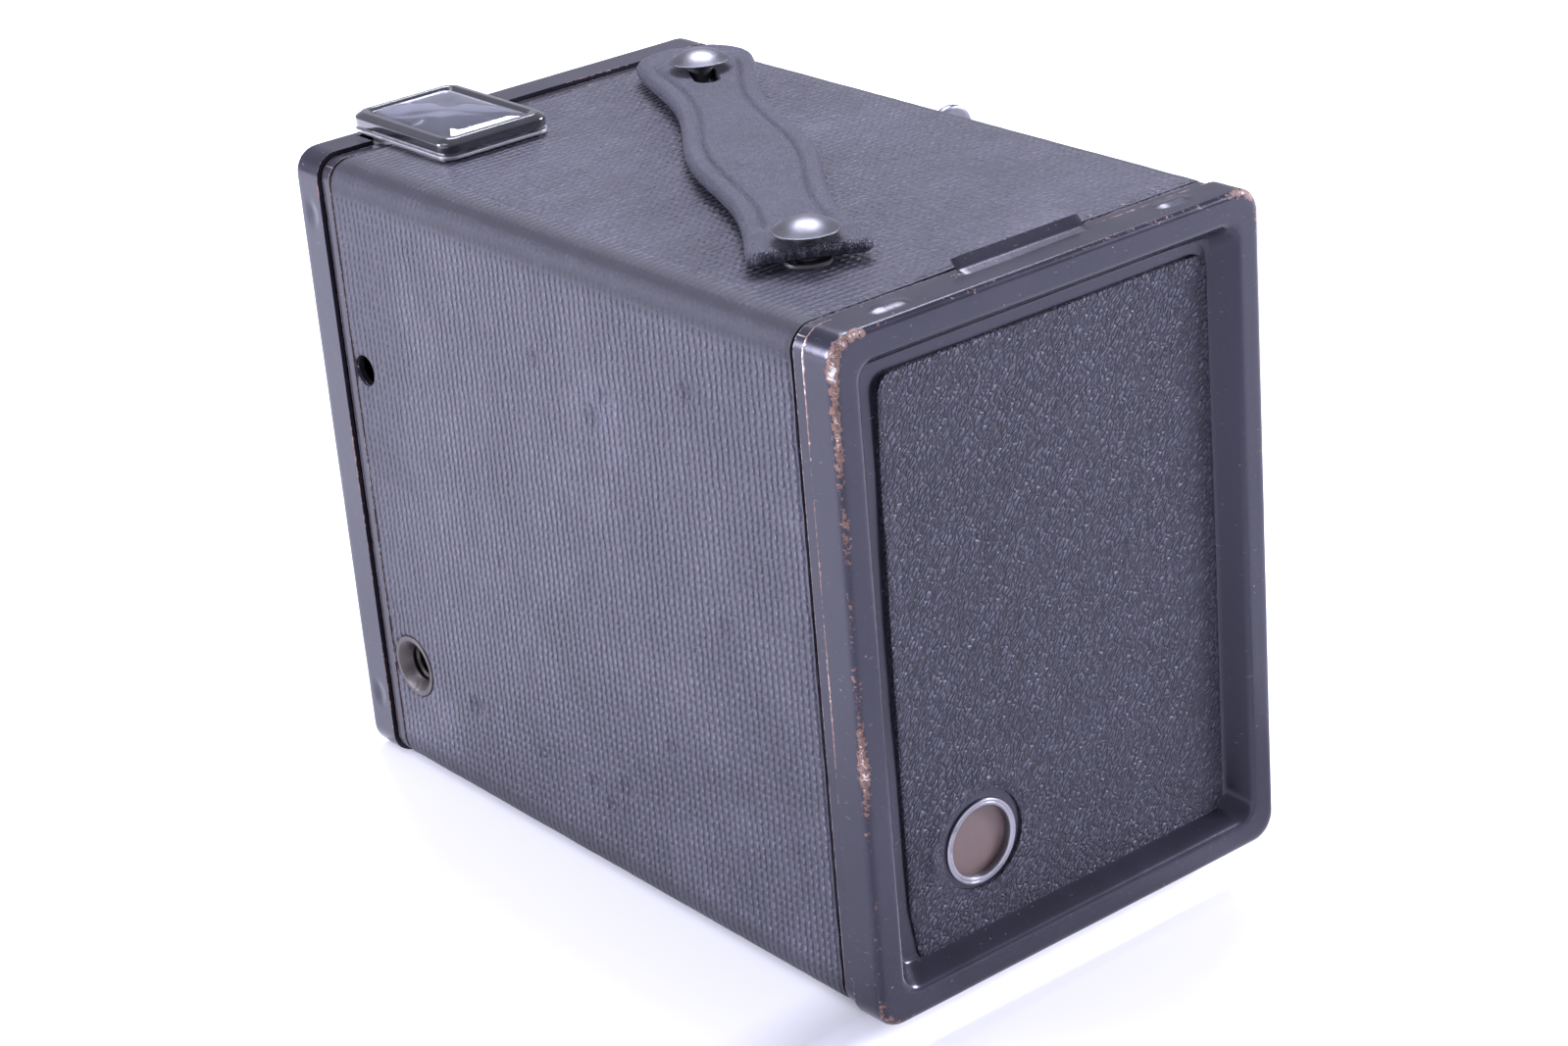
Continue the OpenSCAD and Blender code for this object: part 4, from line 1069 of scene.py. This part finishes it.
rub = {"rubbed": [flattening[i] for i in used] * 2}
wrapped = piece("wrapped_cloth", points, faces, body_cloth, "camera_body", ["body_covering"],
                values=rub, cloth=laid)
print("cloth:", len(points), "points, seam round", round(along[-1], 1), "mm")

# %% [markdown]
# ## Pressed pans
#
# The door and the cap are pressed from sheet: a flange, a rounded crease, a flat rim, a soft slope and a
# sunk panel. One section, rounded at each bend, is carried round the outline, and the same section moved
# in by the sheet's thickness gives the inside. The wear value is high on the crease and the free edge, most
# of all on the corners and the side towards the hand.


# %% Pan maker
def normals_of(path):
    """The inner side's direction at every point of a section."""
    sides = []
    for k in range(len(path)):
        run = (path[min(k + 1, len(path) - 1)] - path[max(k - 1, 0)]).normalized()
        sides.append(Vector((-run.y, run.x)))
    return sides


def side_of(value, limit):
    """1 or -1 for a value further out than the limit on that side, and 0 between."""
    return math.copysign(1, value) if abs(value) > limit else 0


def pan(rim_y, facing, flange, rim, run, depth, bumps, hand):
    """Points, faces and wear of a pan whose rim faces +Y or -Y; bumps are pressed out of its flanges."""
    corners = [(0, flange, 0), (0, 0, 1.1), (rim, 0, 1.3), (rim + run, depth, 0.9),
               (rim + run + 1.6, depth, 0)]
    corner_reach = 6.2
    middle_z = height / 2
    outer = bent(corners, 0.7)
    inner = [p + side * sheet for p, side in zip(outer, normals_of(outer))]
    inner[0] = Vector((sheet, flange))
    across = [2 * t - 1 for t in steps(96)]
    up = [2 * t - 1 for t in steps(124)]
    points, wear, size = [], [], 0
    for skin_path in (outer, inner):
        for k, (inset, v) in enumerate(skin_path):
            corner = corner_r - 0.2 * inset
            loop = rounded_loop(half_width - inset, inset, height - inset, corner, across, up)
            size = len(loop)
            crease = math.hypot(outer[k].x, outer[k].y)
            edge = abs(outer[k].y - flange) if outer[k].x < 0.1 else 9.0
            foot = abs(outer[k].x - rim)
            base = max(0.90 * max(0, 1 - crease / 2.6), 0.86 * max(0, 1 - edge / 1.0))
            base = max(base, 0.36 * max(0, 1 - foot / 1.2))
            for x, z in loop:
                y = rim_y - facing * v
                sag = 0.05 + 0.05 * rumple(x, y + 31, z, 11.0)
                push = bumps(x, y, z)
                side_x = side_of(x, half_width - corner_reach)
                top_z = side_of(z - middle_z, middle_z - corner_reach)
                if outer[k].x < 1.0:
                    wall_x = side_of(x, half_width - inset - 0.9)
                    wall_z = side_of(z - middle_z, middle_z - inset - 0.9)
                    if wall_x:
                        x += (push - sag) * wall_x
                    elif wall_z:
                        z += (push - sag) * wall_z
                y -= facing * sag if outer[k].y < 1.0 and outer[k].x > 0.4 else 0
                points.append((x, y, z))
                knock = hand(side_x, top_z) * (0.75 + 0.45 * rumple(x + 50, y, z, 14.0))
                wear.append(max(0.0, base * knock) + 0.5 * max(0.0, push) if skin_path is outer else 0.0)
    rows = len(outer)
    half_count = rows * size
    faces = skin(rows, size)
    faces += [tuple(i + half_count for i in reversed(face)) for face in skin(rows, size)]
    faces += [(i, half_count + i, half_count + (i + 1) % size, (i + 1) % size) for i in range(size)]
    last = (rows - 1) * size
    faces.append(tuple(last + i for i in range(size)))
    faces.append(tuple(half_count + last + i for i in reversed(range(size))))
    return points, faces, wear


def cutter(points, faces):
    """A shape to cut with, which isn't a piece."""
    mesh = bpy.data.meshes.new("cutter")
    mesh.from_pydata([tuple(c * MM for c in p) for p in points], [], faces)
    outward(mesh)
    made = bpy.data.objects.new("cutter", mesh)
    scene.collection.objects.link(made)
    return made


def rod_cutter(centre, radius, axis, start, end):
    """A round rod to cut with, from start to end along an axis."""
    return cutter(*turned_part([(radius, start), (radius, end)], centre, axis, ring=False, count=64))


def box_cutter(low, high):
    """A box to cut with, between two corners."""
    points = [(x, y, z) for x in (low[0], high[0]) for y in (low[1], high[1]) for z in (low[2], high[2])]
    sides = [(0, 1, 3, 2), (4, 6, 7, 5), (0, 4, 5, 1), (2, 3, 7, 6), (0, 2, 6, 4), (1, 5, 7, 3)]
    return cutter(points, sides)


pan_rim = 4.6
through_front = (-20, -8)
through_rear = (100, 130)
print("pan maker ready")

# %% [markdown]
# ## The rear door
#
# Two racetrack dimples near the ends of the top flange snap over the tube. The hand that opens the door
# rubs the flange on the socket side and its lower corner, so the wear is weighted that way.

# %% Door pan
ring_x, ring_z = (ring_low.x + ring_high.x) / 2, (ring_low.z + ring_high.z) / 2
door_flange = 6.2
door_depth = 4.1
door_edge_y = rear_y - door_flange
snap_x = 26.6


def door_bumps(x, y, z):
    """How far the two snap dimples push a place outward."""
    half_long, half_wide, proud = 1.9, 1.3, 0.42
    if z < height - 1.5:
        return 0.0
    along_bump = max(0.0, abs(abs(x) - snap_x) - half_long)
    far = math.hypot(along_bump, y - door_edge_y - 2.2)
    return proud * max(0.0, 1 - (far / half_wide) ** 2)


def door_hand(side_x, top_z):
    """How much the hand wears a side (1 is the socket side) and the top."""
    base = {1: 1.10, 0: 0.80, -1: 0.74}[side_x]
    return base + (0.22 if side_x and top_z else 0.0) + (0.10 if top_z == 1 else 0.0)


points, faces, wear = pan(rear_y, 1, door_flange, pan_rim, 2.2, door_depth, door_bumps, door_hand)
door_pan = piece("door_pan", points, faces, pressed_enamel, "door", ["rear_door"], values={"wear": wear})
drill(door_pan, rod_cutter((ring_x, 0, ring_z), 5.9, "y", *through_rear))
print("door pan:", len(door_pan.data.polygons), "faces")

# %% [markdown]
# ## Thumb lip and rolled knuckles
#
# Both are the door's own sheet, bent on: a lip curled up from the top flange for the thumb, and two
# stretches rolled round the hinge pin. Each is a line with a thickness, pulled along the hinge's direction.


# %% Bent strips
def strip(line, thick, x0, x1, count):
    """Points and faces of a bent sheet whose middle line (y, z) runs along x."""
    rounding = 0.12
    sides = normals_of(line)
    low_side = [p - side * thick / 2 for p, side in zip(line, sides)]
    high_side = [p + side * thick / 2 for p, side in zip(line, sides)]
    loop = low_side + high_side[::-1]
    points = []
    for t in steps(count):
        ease = rounding if t in (0.0, 1.0) else 0.0
        x = x0 + (x1 - x0) * t
        for k, p in enumerate(loop):
            other = loop[-1 - k]
            q = p.lerp(other, ease)
            points.append((x, q.x, q.y))
    return points, skin(count + 1, len(loop)) + closing(count + 1, len(loop), False)


lip_line = bent([(116.2, 105.6, 0), (112.6, 105.62, 2.4), (110.6, 106.0, 1.6), (109.3, 107.44, 0)], 0.35)
lip_half = 11.75
points, faces = strip(lip_line, 0.62, -lip_half, lip_half, 40)
wear = [0.10 + 0.34 * max(0.0, (p[2] - 106.2) / 1.4) for p in points]
thumb_lip = piece("thumb_lip", points, faces, pressed_enamel, "door", ["rear_door"], values={"wear": wear})

pin_y, pin_z = 109.6, 1.25
coil_r = 0.93
roll_t = 0.6
roll_in, roll_out = 11.3, 33.0
coil = [Vector((113.4, 0.35)), Vector((111.6, 0.34))]
for k in range(26):
    angle = math.radians(-90 - 12 * k)
    coil.append(Vector((pin_y + coil_r * math.cos(angle), pin_z + coil_r * math.sin(angle))))
knuckles = joined(strip(coil, roll_t, roll_in, roll_out, 24), strip(coil, roll_t, -roll_out, -roll_in, 24))
wear = [0.42 if p[1] < 110.0 else 0.2 for p in knuckles[0]]
rolled = piece("door_knuckles", *knuckles, pressed_enamel, "door", ["rear_door"], values={"wear": wear})
print("lip and knuckles:", len(thumb_lip.data.vertices), len(rolled.data.vertices), "points")

# %% [markdown]
# ## The front cap
#
# The same pressing with a shallower recess. Its flange is notched where the finders' necks come through, and
# a tall dimple near each corner grips the tube. The panel has the lens hole and the two finder eyes.

# %% Cap pan
cap_flange = 6.7
cap_depth = 1.6
lens_hole_r = 9.0
eye_half = 6.0
eye_drop = 14.5
top_eye = (finder_x, height - eye_drop)
side_eye = (-(half_width - eye_drop), finder_z)
lens_z = height / 2


def cap_bumps(x, y, z):
    """How far a tall dimple near each corner pushes a place inward."""
    if abs(x) < half_width - 1.5:
        return 0.0
    far = min(math.hypot((y - cap_edge_y + 2.9) / 1.4, (z - place) / 2.3) for place in (11.0, 96.0))
    return -0.35 * max(0.0, 1 - far * far)


def cap_hand(side_x, top_z):
    """The hand wears the cap's corners a little more."""
    return 0.85 + (0.2 if side_x and top_z else 0.0)


points, faces, wear = pan(front_y, -1, cap_flange, pan_rim, 1.4, cap_depth, cap_bumps, cap_hand)
cap_pan = piece("cap_pan", points, faces, pressed_enamel, "camera_body", ["front_cap"], values={"wear": wear})
eyes = []
for x, z in (top_eye, side_eye):
    low, high = (x - eye_half, through_front[0], z - eye_half), (x + eye_half, through_front[1], z + eye_half)
    eyes.append(box_cutter(low, high))
notch = neck_half + 2
notch_y = cap_edge_y - 4.4
over = box_cutter((finder_x - notch, notch_y, height - 2), (finder_x + notch, 0, height + 2))
beside = box_cutter((-half_width - 2, notch_y, finder_z - notch), (-half_width + 2, 0, finder_z + notch))
drill(cap_pan, rod_cutter((0, 0, lens_z), lens_hole_r, "y", *through_front), *eyes, over, beside)
print("cap pan:", len(cap_pan.data.polygons), "faces")

# %% [markdown]
# ## Leather on the two panels
#
# The front panel has the same linen cloth as the tube. The door has pebbled cloth, cut by hand and a little
# askew: its lower corner on the socket side is cut slanting and shows some of the panel. Round the film
# window it has lifted and wrinkled, and its edges at the top and on the socket side have begun to curl up.

# %% Front panel cloth
edge = 6.6
half_front = half_width - edge
frame_line = rounded_box((-half_front, edge), (half_front, height - edge), 2.5)


def eye_hole(x, z, half=7.2):
    """The square hole that the cloth has round a finder's eye."""
    return rounded_box((x - half, z - half), (x + half, z + half), 0.8)


front_holes = [circle(0, lens_z, lens_hole_r), eye_hole(*top_eye), eye_hole(*side_eye)]
flat, kept = cut_sheet(frame_line, front_holes, cell)
face_y = front_y + cap_depth
front, back = [], []
border = border_points(kept)
for i, (x, z) in enumerate(flat):
    sunk = 0.22 if i in border else 0.03 + 0.03 * rumple(x, 60.0, z, 5.0)
    front.append((x, face_y - 0.5 + sunk, z))
    back.append((x, face_y, z))
points, faces, used = closed_sheet(front, back, kept)
laid = [tuple(flat[i]) for i in used] * 2
front_cloth = piece("front_panel_cloth", points, faces, body_cloth, "camera_body", ["front_covering"],
                    cloth=laid)
print("front cloth:", len(points), "points")

# %% Door panel leather
hide_line = rounded([(29.3, 5.6), (30.7, 15.0), (30.9, 60.0), (30.2, 97.0), (0.0, 96.9), (-32.7, 97.0),
                     (-33.0, 50.0), (-32.8, 5.8)], 2.6)
hide_z = ring_z + 0.4
hide_hole = circle(ring_x, hide_z, 7.8)
curl_x, curl_z = 31.0, 97.0
flat, kept = cut_sheet(hide_line, [hide_hole], 0.55)
panel_y = rear_y - door_depth
front, back = [], []
border = border_points(kept)
for i, (x, z) in enumerate(flat):
    to_window = math.hypot(x - ring_x, z - hide_z)
    bearing = math.atan2(z - ring_z, x - ring_x)
    wrinkle = 0.05 * rumple(x * 1.6, 80.0, z * 0.8, 1.7) + 0.05 * rumple(x, 90.0, z, 6.0)
    welt = math.exp(-((to_window - 9.6) / 1.5) ** 2) + 0.35 * math.exp(-((to_window - 12.5) / 1.8) ** 2)
    around = max(0.0, 0.25 + 0.75 * math.cos(bearing - 0.95))
    lifted = 0.95 * welt * around * (0.8 + 0.6 * rumple(x, 70.0, z, 2.0))
    side_curl = 0.75 * math.exp(-max(0.0, curl_x - x) / 3.5) * min(1.0, z / 60)
    top_curl = 0.45 * math.exp(-max(0.0, curl_z - z) / 3.0)
    lifted += (side_curl + top_curl) * (0.8 + 0.4 * rumple(x, 60.0, z, 9.0))
    sunk = 0.2 if i in border and to_window > 12 else 0.0
    front.append((x, panel_y + 0.46 + wrinkle + lifted - sunk, z))
    back.append((x, panel_y - 0.02, z))
points, faces, _ = closed_sheet(front, back, kept)
door_hide = piece("door_leather", points, faces, door_cloth, "door", ["door_covering"])
print("door leather:", len(points), "points")

# %% [markdown]
# ## The film number window
#
# A metal eyelet holds the red disc: a flat flange with a fine groove, a rolled inner edge and a skirt that
# goes through the door. The disc itself is a shallow lens of celluloid that has bowed with age.

# %% Eyelet and disc
clear = (ring_high.x - ring_low.x) / 2 - 1.1
outer_r = clear + 1.1
top_y = ring_high.y
section = [
    (outer_r, panel_y - 0.02), (outer_r, top_y - 0.16), (outer_r - 0.05, top_y - 0.05),
    (outer_r - 0.16, top_y), (outer_r - 0.42, top_y), (outer_r - 0.50, top_y - 0.09),
    (outer_r - 0.58, top_y), (clear + 0.25, top_y), (clear + 0.08, top_y - 0.08), (clear, top_y - 0.25),
    (clear, panel_y - 0.7), (clear, ring_low.y), (clear + 0.2, ring_low.y), (clear + 0.25, panel_y - 0.1),
]
eyelet = piece("window_eyelet", *turned_part(section, (ring_x, 0, ring_z), "y", count=120), dull_nickel,
               "door", ["window_ring"], sharp=28)
film_y = span("red_window")[0].y
bow = [(clear * t + 0.02, film_y + 0.30 - 0.12 * t * t) for t in steps(12)]
disc_section = bow + [(clear, film_y), (0.02, film_y)]
disc = piece("window_disc", *turned_part(disc_section, (ring_x, 0, ring_z), "y", ring=False), red_film,
             "door", ["red_window"])
print("eyelet", len(eyelet.data.vertices), "points, clear opening", round(2 * clear, 2), "mm")

# %% [markdown]
# ## The strap
#
# A strip of leather with wavy edges, an embossed line two millimetres in from each edge, and a slot near
# each end that slides on a stud. It lies slantwise over the top. The rear end was cut roughly and has frayed.

# %% Strap
strap_turn = math.atan2(stud_y, stud_x)
strap_u0, strap_u1 = -58.95, 48.55
slot_half = 2.2


def strap_slot(u0, u1):
    """A slot along the strap's middle, from u0 to u1, with round ends."""
    return rounded_box((u0, -slot_half), (u1, slot_half), 2.15, 0.3)


strap_slots = [strap_slot(-45.45, -35.95), strap_slot(38.95, 44.95 + slot_half)]


def half_strap(u):
    """Half the strap's width at u: a wavy edge, a round nose and a roughly cut end."""
    wave = 8.4 + 1.2 * math.cos(math.tau * (u - 1.5) / 54)
    nose = max(0.04, min(1.0, (u - strap_u0 + 0.1) / 8.4))
    return wave * math.sqrt(1 - (1 - nose) ** 2) - 1.4 * max(0.0, 1 - (strap_u1 - u) / 1.8) ** 2


us = stations(strap_u0, strap_u1, 0.6)
vs = stations(-1, 1, 0.035)
flat = [Vector((u, v * half_strap(u))) for u in us for v in vs]
kept = []
for face in skin(len(us), len(vs), closed=False):
    middle = sum((flat[i] for i in face), Vector((0, 0))) / 4
    if not any(inside(middle, line) for line in strap_slots):
        kept.append(face)
for i in border_points(kept):
    for line in strap_slots:
        place = nearest(flat[i], line)
        if (place - flat[i]).length < 0.7:
            flat[i] = place
front, back = [], []
spin = Matrix.Rotation(strap_turn, 2)
for u, v in flat:
    half = half_strap(u)
    end = min(u - strap_u0, strap_u1 - u)
    gap = min(half - abs(v), end)
    groove = 0.38 * math.exp(-((half - abs(v) - 3.0) / 0.42) ** 2) * min(1.0, max(0.0, (end - 9) / 3))
    edge_drop = 0.70 * max(0.0, 1 - gap / 0.9) ** 2
    crack_line = max(0.0, 1 - abs(rumple(u * 1.8, v * 0.5, 33.0, 3.2)) * 9)
    crack = 0.28 * crack_line * max(0.0, 1 - math.hypot(u - 8, v + 1) / 9)
    cup = 0.12 * rumple(u, v, 12.0, 9.0) + 0.05 * rumple(u, v, 20.0, 2.0)
    fray = 0.7 * rumple(v, 5.0, 2.0, 0.8) * max(0.0, 1 - (strap_u1 - u) / 2) if u > 45 else 0.0
    x, y = spin @ Vector((u + min(0.0, fray), v))
    top_z = strap_high.z - 0.1 - groove - edge_drop - crack + min(0.1, cup)
    front.append((x, middle_y + y, top_z))
    back.append((x, middle_y + y, strap_low.z + 0.6 * edge_drop))
points, faces, _ = closed_sheet(front, back, kept, rows=2)
leather_strap = piece("leather_strap", points, faces, strap_grain, "camera_body", ["strap"], sharp=50)
print("strap:", len(points), "points, turned", round(math.degrees(strap_turn), 1), "degrees")

# %% [markdown]
# ## Strap studs
#
# A domed nickel head with a rolled rim sits on a brown tapering shank, which ends in a round foot on the
# cloth and is riveted over inside. Head and shank have different finishes, so they are two pieces.

# %% Studs
stud_low, stud_high = span("strap_studs")
foot_z = cloth_high.z
head_r = 5.0
head_h = 1.9
head_z = stud_high.z - head_h
dome_r = (head_r ** 2 + head_h ** 2) / (2 * head_h)
dome_line = []
for t in steps(12):
    r = 4.75 * (1 - t) + 0.01
    dome_line.append((r, stud_high.z - dome_r + math.sqrt(dome_r ** 2 - r * r)))
head_section = [(1.9, head_z), (4.7, head_z), (4.95, head_z + 0.08), (head_r, head_z + 0.22)]
head_section += [(4.9, head_z + 0.34), (4.78, head_z + 0.24)] + dome_line[1:]
head_section += [(0.01, head_z + 0.4), (1.9, head_z + 0.1)]
shank_section = [(0.01, head_z + 0.3), (2.3, head_z + 0.05), (2.1, head_z - 0.8), (1.8, foot_z + 1.2)]
shank_section += [(1.9, foot_z + 0.7), (3.4, foot_z + 0.62), (3.5, foot_z + 0.45), (3.5, foot_z)]
shank_section += [(1.8, foot_z), (1.8, stud_low.z), (0.01, stud_low.z)]
heads, shanks = [], []
for side in (-1, 1):
    centre = (side * stud_x, middle_y + side * stud_y, 0)
    heads.append(turned_part(head_section, centre, "z", ring=False))
    shanks.append(turned_part(shank_section, centre, "z", ring=False, count=48))
stud_heads = piece("stud_heads", *joined(*heads), stud_nickel, "camera_body", ["strap_studs"], sharp=30)
stud_shanks = piece("stud_shanks", *joined(*shanks), black_steel, "camera_body", ["strap_studs"], sharp=35)
print("studs stand", round(stud_high.z - foot_z, 1), "mm above the cloth")

# %% [markdown]
# ## The two brilliant finders
#
# Each finder is a glossy black frame with a rounded shoulder, a bevel that falls to the glass, and a strong
# convex lens. The top one looks up and the side one looks out to the key side. The same levels serve both,
# since only the way they are placed differs.

# %% Finder frames and glasses
finder_y = front_y - 1.0 + 27.6 / 2
frame_half = Vector((10.1, 13.8))
bezel_line = bent([(0.5, 1.0, 0), (0.0, 1.0, 0.15), (0.0, 2.45, 0.55), (0.9, 3.15, 0.3), (1.75, 3.2, 0.25),
                   (2.35, 2.55, 0.15), (2.35, 1.6, 0)], 0.4)


def on_top(a, b, h):
    return finder_x + a, finder_y + b, height + h


def on_side(a, b, h):
    return -half_width - h, finder_y + b, finder_z + a


frame_levels = []
for inset, h in bezel_line:
    frame_levels.append((frame_half.x - inset, frame_half.y - inset, max(0.6, 2.4 - 0.35 * inset), h))
glass_a, glass_b = 7.65, 11.75
glass_corner = 1.45
shoulder = 2.75
glass_rise = 1.85
glass_levels = [(7.6, 11.7, 1.4, 1.6)]
glass_levels += [(glass_a, glass_b, glass_corner, h) for h in (2.0, shoulder)]
for k in range(1, 15):
    s = math.cos(math.radians(90 * k / 15))
    rise = shoulder + glass_rise * (1 - s ** 2.4)
    glass_levels.append((glass_a * s, glass_b * s, glass_corner * s + 2.2 * s * (1 - s), rise))
for name, place in (("top", on_top), ("side", on_side)):
    bezel = piece(f"{name}_finder_frame", *tower(frame_levels, place, ring=True), gloss_black, "camera_body",
                  [f"{name}_finder_bezel"], sharp=45)
    dome = piece(f"{name}_finder_lens", *tower(glass_levels, place), finder_glass, "camera_body",
                 [f"{name}_finder_glass"], sharp=50)
print("finder frames:", round(2 * frame_half.x, 1), "by", round(2 * frame_half.y, 1), "mm")

# %% [markdown]
# ## Tripod sockets
#
# Each socket is a turned sleeve with a countersunk mouth and a thread of twenty turns to the inch. The
# thread is cut as real grooves, because they catch the light in the mouth of the hole.


# %% Threaded sleeves
def socket_section(depth, seat, inner, lip_r, lip_depth):
    """The sleeve's section as (radius, height), with its mouth at height 0 and its end at depth + 1."""
    bore, crest = 3.3, 3.0
    pitch = 1.27
    section = [(5.3, 0.12), (5.18, 0.0), (lip_r + 0.1, 0.0), (lip_r, 0.06), (bore + 0.1, lip_depth)]
    level = lip_depth + 0.1
    while level + pitch < depth:
        section += [(bore, level + 0.1), (crest, level + 0.5), (crest, level + 0.7), (bore, level + 1.1)]
        level += pitch
    section += [(crest, depth), (0.02, depth), (0.02, depth + 1), (4.75, depth + 1), (4.75, inner + 0.8)]
    return section + [(5.3, inner + 0.8), (5.3, inner), (4.75, inner), (4.75, seat), (5.3, seat)]


for name, axis, centre, facing in (("side", "x", (0, 0, socket_z), -1), ("bottom", "z", (0, 0, 0), 1)):
    low, high = span(f"{name}_tripod_socket")
    mouth = high.x if name == "side" else low.z
    seat, inner = (0.6, 1.75) if name == "side" else (0.95, 1.95)
    lip = (4.45, 1.2) if name == "side" else (3.7, 0.5)
    section = [(r, mouth + facing * h) for r, h in socket_section(6.0, seat, inner, *lip)]
    sleeve = piece(f"{name}_socket_sleeve", *turned_part(section, centre, axis), worn_brass, "camera_body",
                   [f"{name}_tripod_socket"], sharp=30)
    end = low.x if name == "side" else high.z
    print(name, "socket: mouth at", round(mouth, 2), "mm, end at", round(end, 2))

# %% [markdown]
# ## Winding key
#
# A flat wing with rounded corners and softened edges, slightly swollen where it is riveted to the hub. The
# shaft behind it turns in its bush and ends in a blade for the spool's slot.

# %% Key
key_low, key_high = span("winding_key")
wing_r = 4.4
wing_x = key_low.x + 4.5
wing_half = (key_high.z - key_low.z) / 2
blade_x = key_high.x - 3.2


def on_key(a, b, h):
    swell = 1 + 0.22 * math.exp(-((b / 4.0) ** 2))
    return wing_x + a, key_y + h * swell, key_z + b


wing_edge = [(0.9, 0.78), (0.45, 0.76), (0.14, 0.60), (0.0, 0.3)]
wing_levels = []
for inset, h in [(inset, -h) for inset, h in wing_edge] + wing_edge[::-1]:
    wing_levels.append((wing_r - inset, wing_half - inset, wing_r - 0.1 - inset, h))
hub_x = key_low.x + 7.2
hub = [(0.02, hub_x), (3.3, hub_x), (3.65, hub_x + 0.18), (3.75, hub_x + 0.5), (3.75, hub_x + 2.1)]
hub += [(3.62, hub_x + 2.45), (3.3, hub_x + 2.6), (2.0, hub_x + 2.6), (2.0, blade_x), (0.02, blade_x)]
blade = [(2.0, 0.75, 0.3, 0.0), (2.0, 0.75, 0.3, 1.0), (3.2, 0.75, 0.3, 1.0), (3.2, 0.75, 0.3, 3.0),
         (2.9, 0.55, 0.3, 3.2)]


def on_blade(a, b, h):
    return blade_x + h, key_y + b, key_z + a


key_parts = joined(tower(wing_levels, on_key), turned_part(hub, (0, key_y, key_z), "x", ring=False),
                   tower(blade, on_blade))
winding = piece("key_wing", *key_parts, stud_nickel, "winding_key", ["winding_key"], sharp=35)
print("key spans", round(key_high.z - key_low.z, 1), "mm")

# %% [markdown]
# ## Lens mount
#
# The meniscus lens is held in a turned ring with a stepped, slightly dished flange, which stands out on the
# front panel. Its bore is blackened by its depth alone.

# %% Lens ring
mount_low, mount_high = span("lens_ring")
mount_y = mount_low.y
ring_section = [
    (12.0, mount_y + 1.0), (12.0, mount_y + 0.35), (11.85, mount_y + 0.1), (11.5, mount_y), (10.4, mount_y),
    (10.2, mount_y + 0.18), (9.9, mount_y + 0.18), (9.7, mount_y), (8.2, mount_y + 0.02),
    (7.4, mount_y + 0.35), (6.4, mount_y + 0.7), (6.0, mount_y + 1.1), (6.0, -13.42), (7.0, -13.4),
    (7.0, mount_high.y), (9.0, mount_high.y), (9.0, mount_y + 1.0),
]
mount = piece("lens_mount", *turned_part(ring_section, (0, 0, lens_z), "y", count=120), dull_nickel,
              "camera_body", ["lens_ring"], sharp=28)
lens_low, lens_high = span("lens")
lens_r = 7.0
meniscus = [(lens_r * t + 0.02, lens_low.y + 0.25 + 0.5 * (1 - t * t)) for t in steps(12)]
meniscus += [(lens_r * t + 0.02, lens_high.y - 0.55 * (1 - t * t)) for t in reversed(steps(12))]
taking_lens = piece("meniscus_lens", *turned_part(meniscus, (0, 0, lens_z), "y", ring=False), clear_glass,
                    "camera_body", ["lens"], sharp=50)
print("lens mount:", round(mount_high.x - mount_low.x, 1), "mm across")
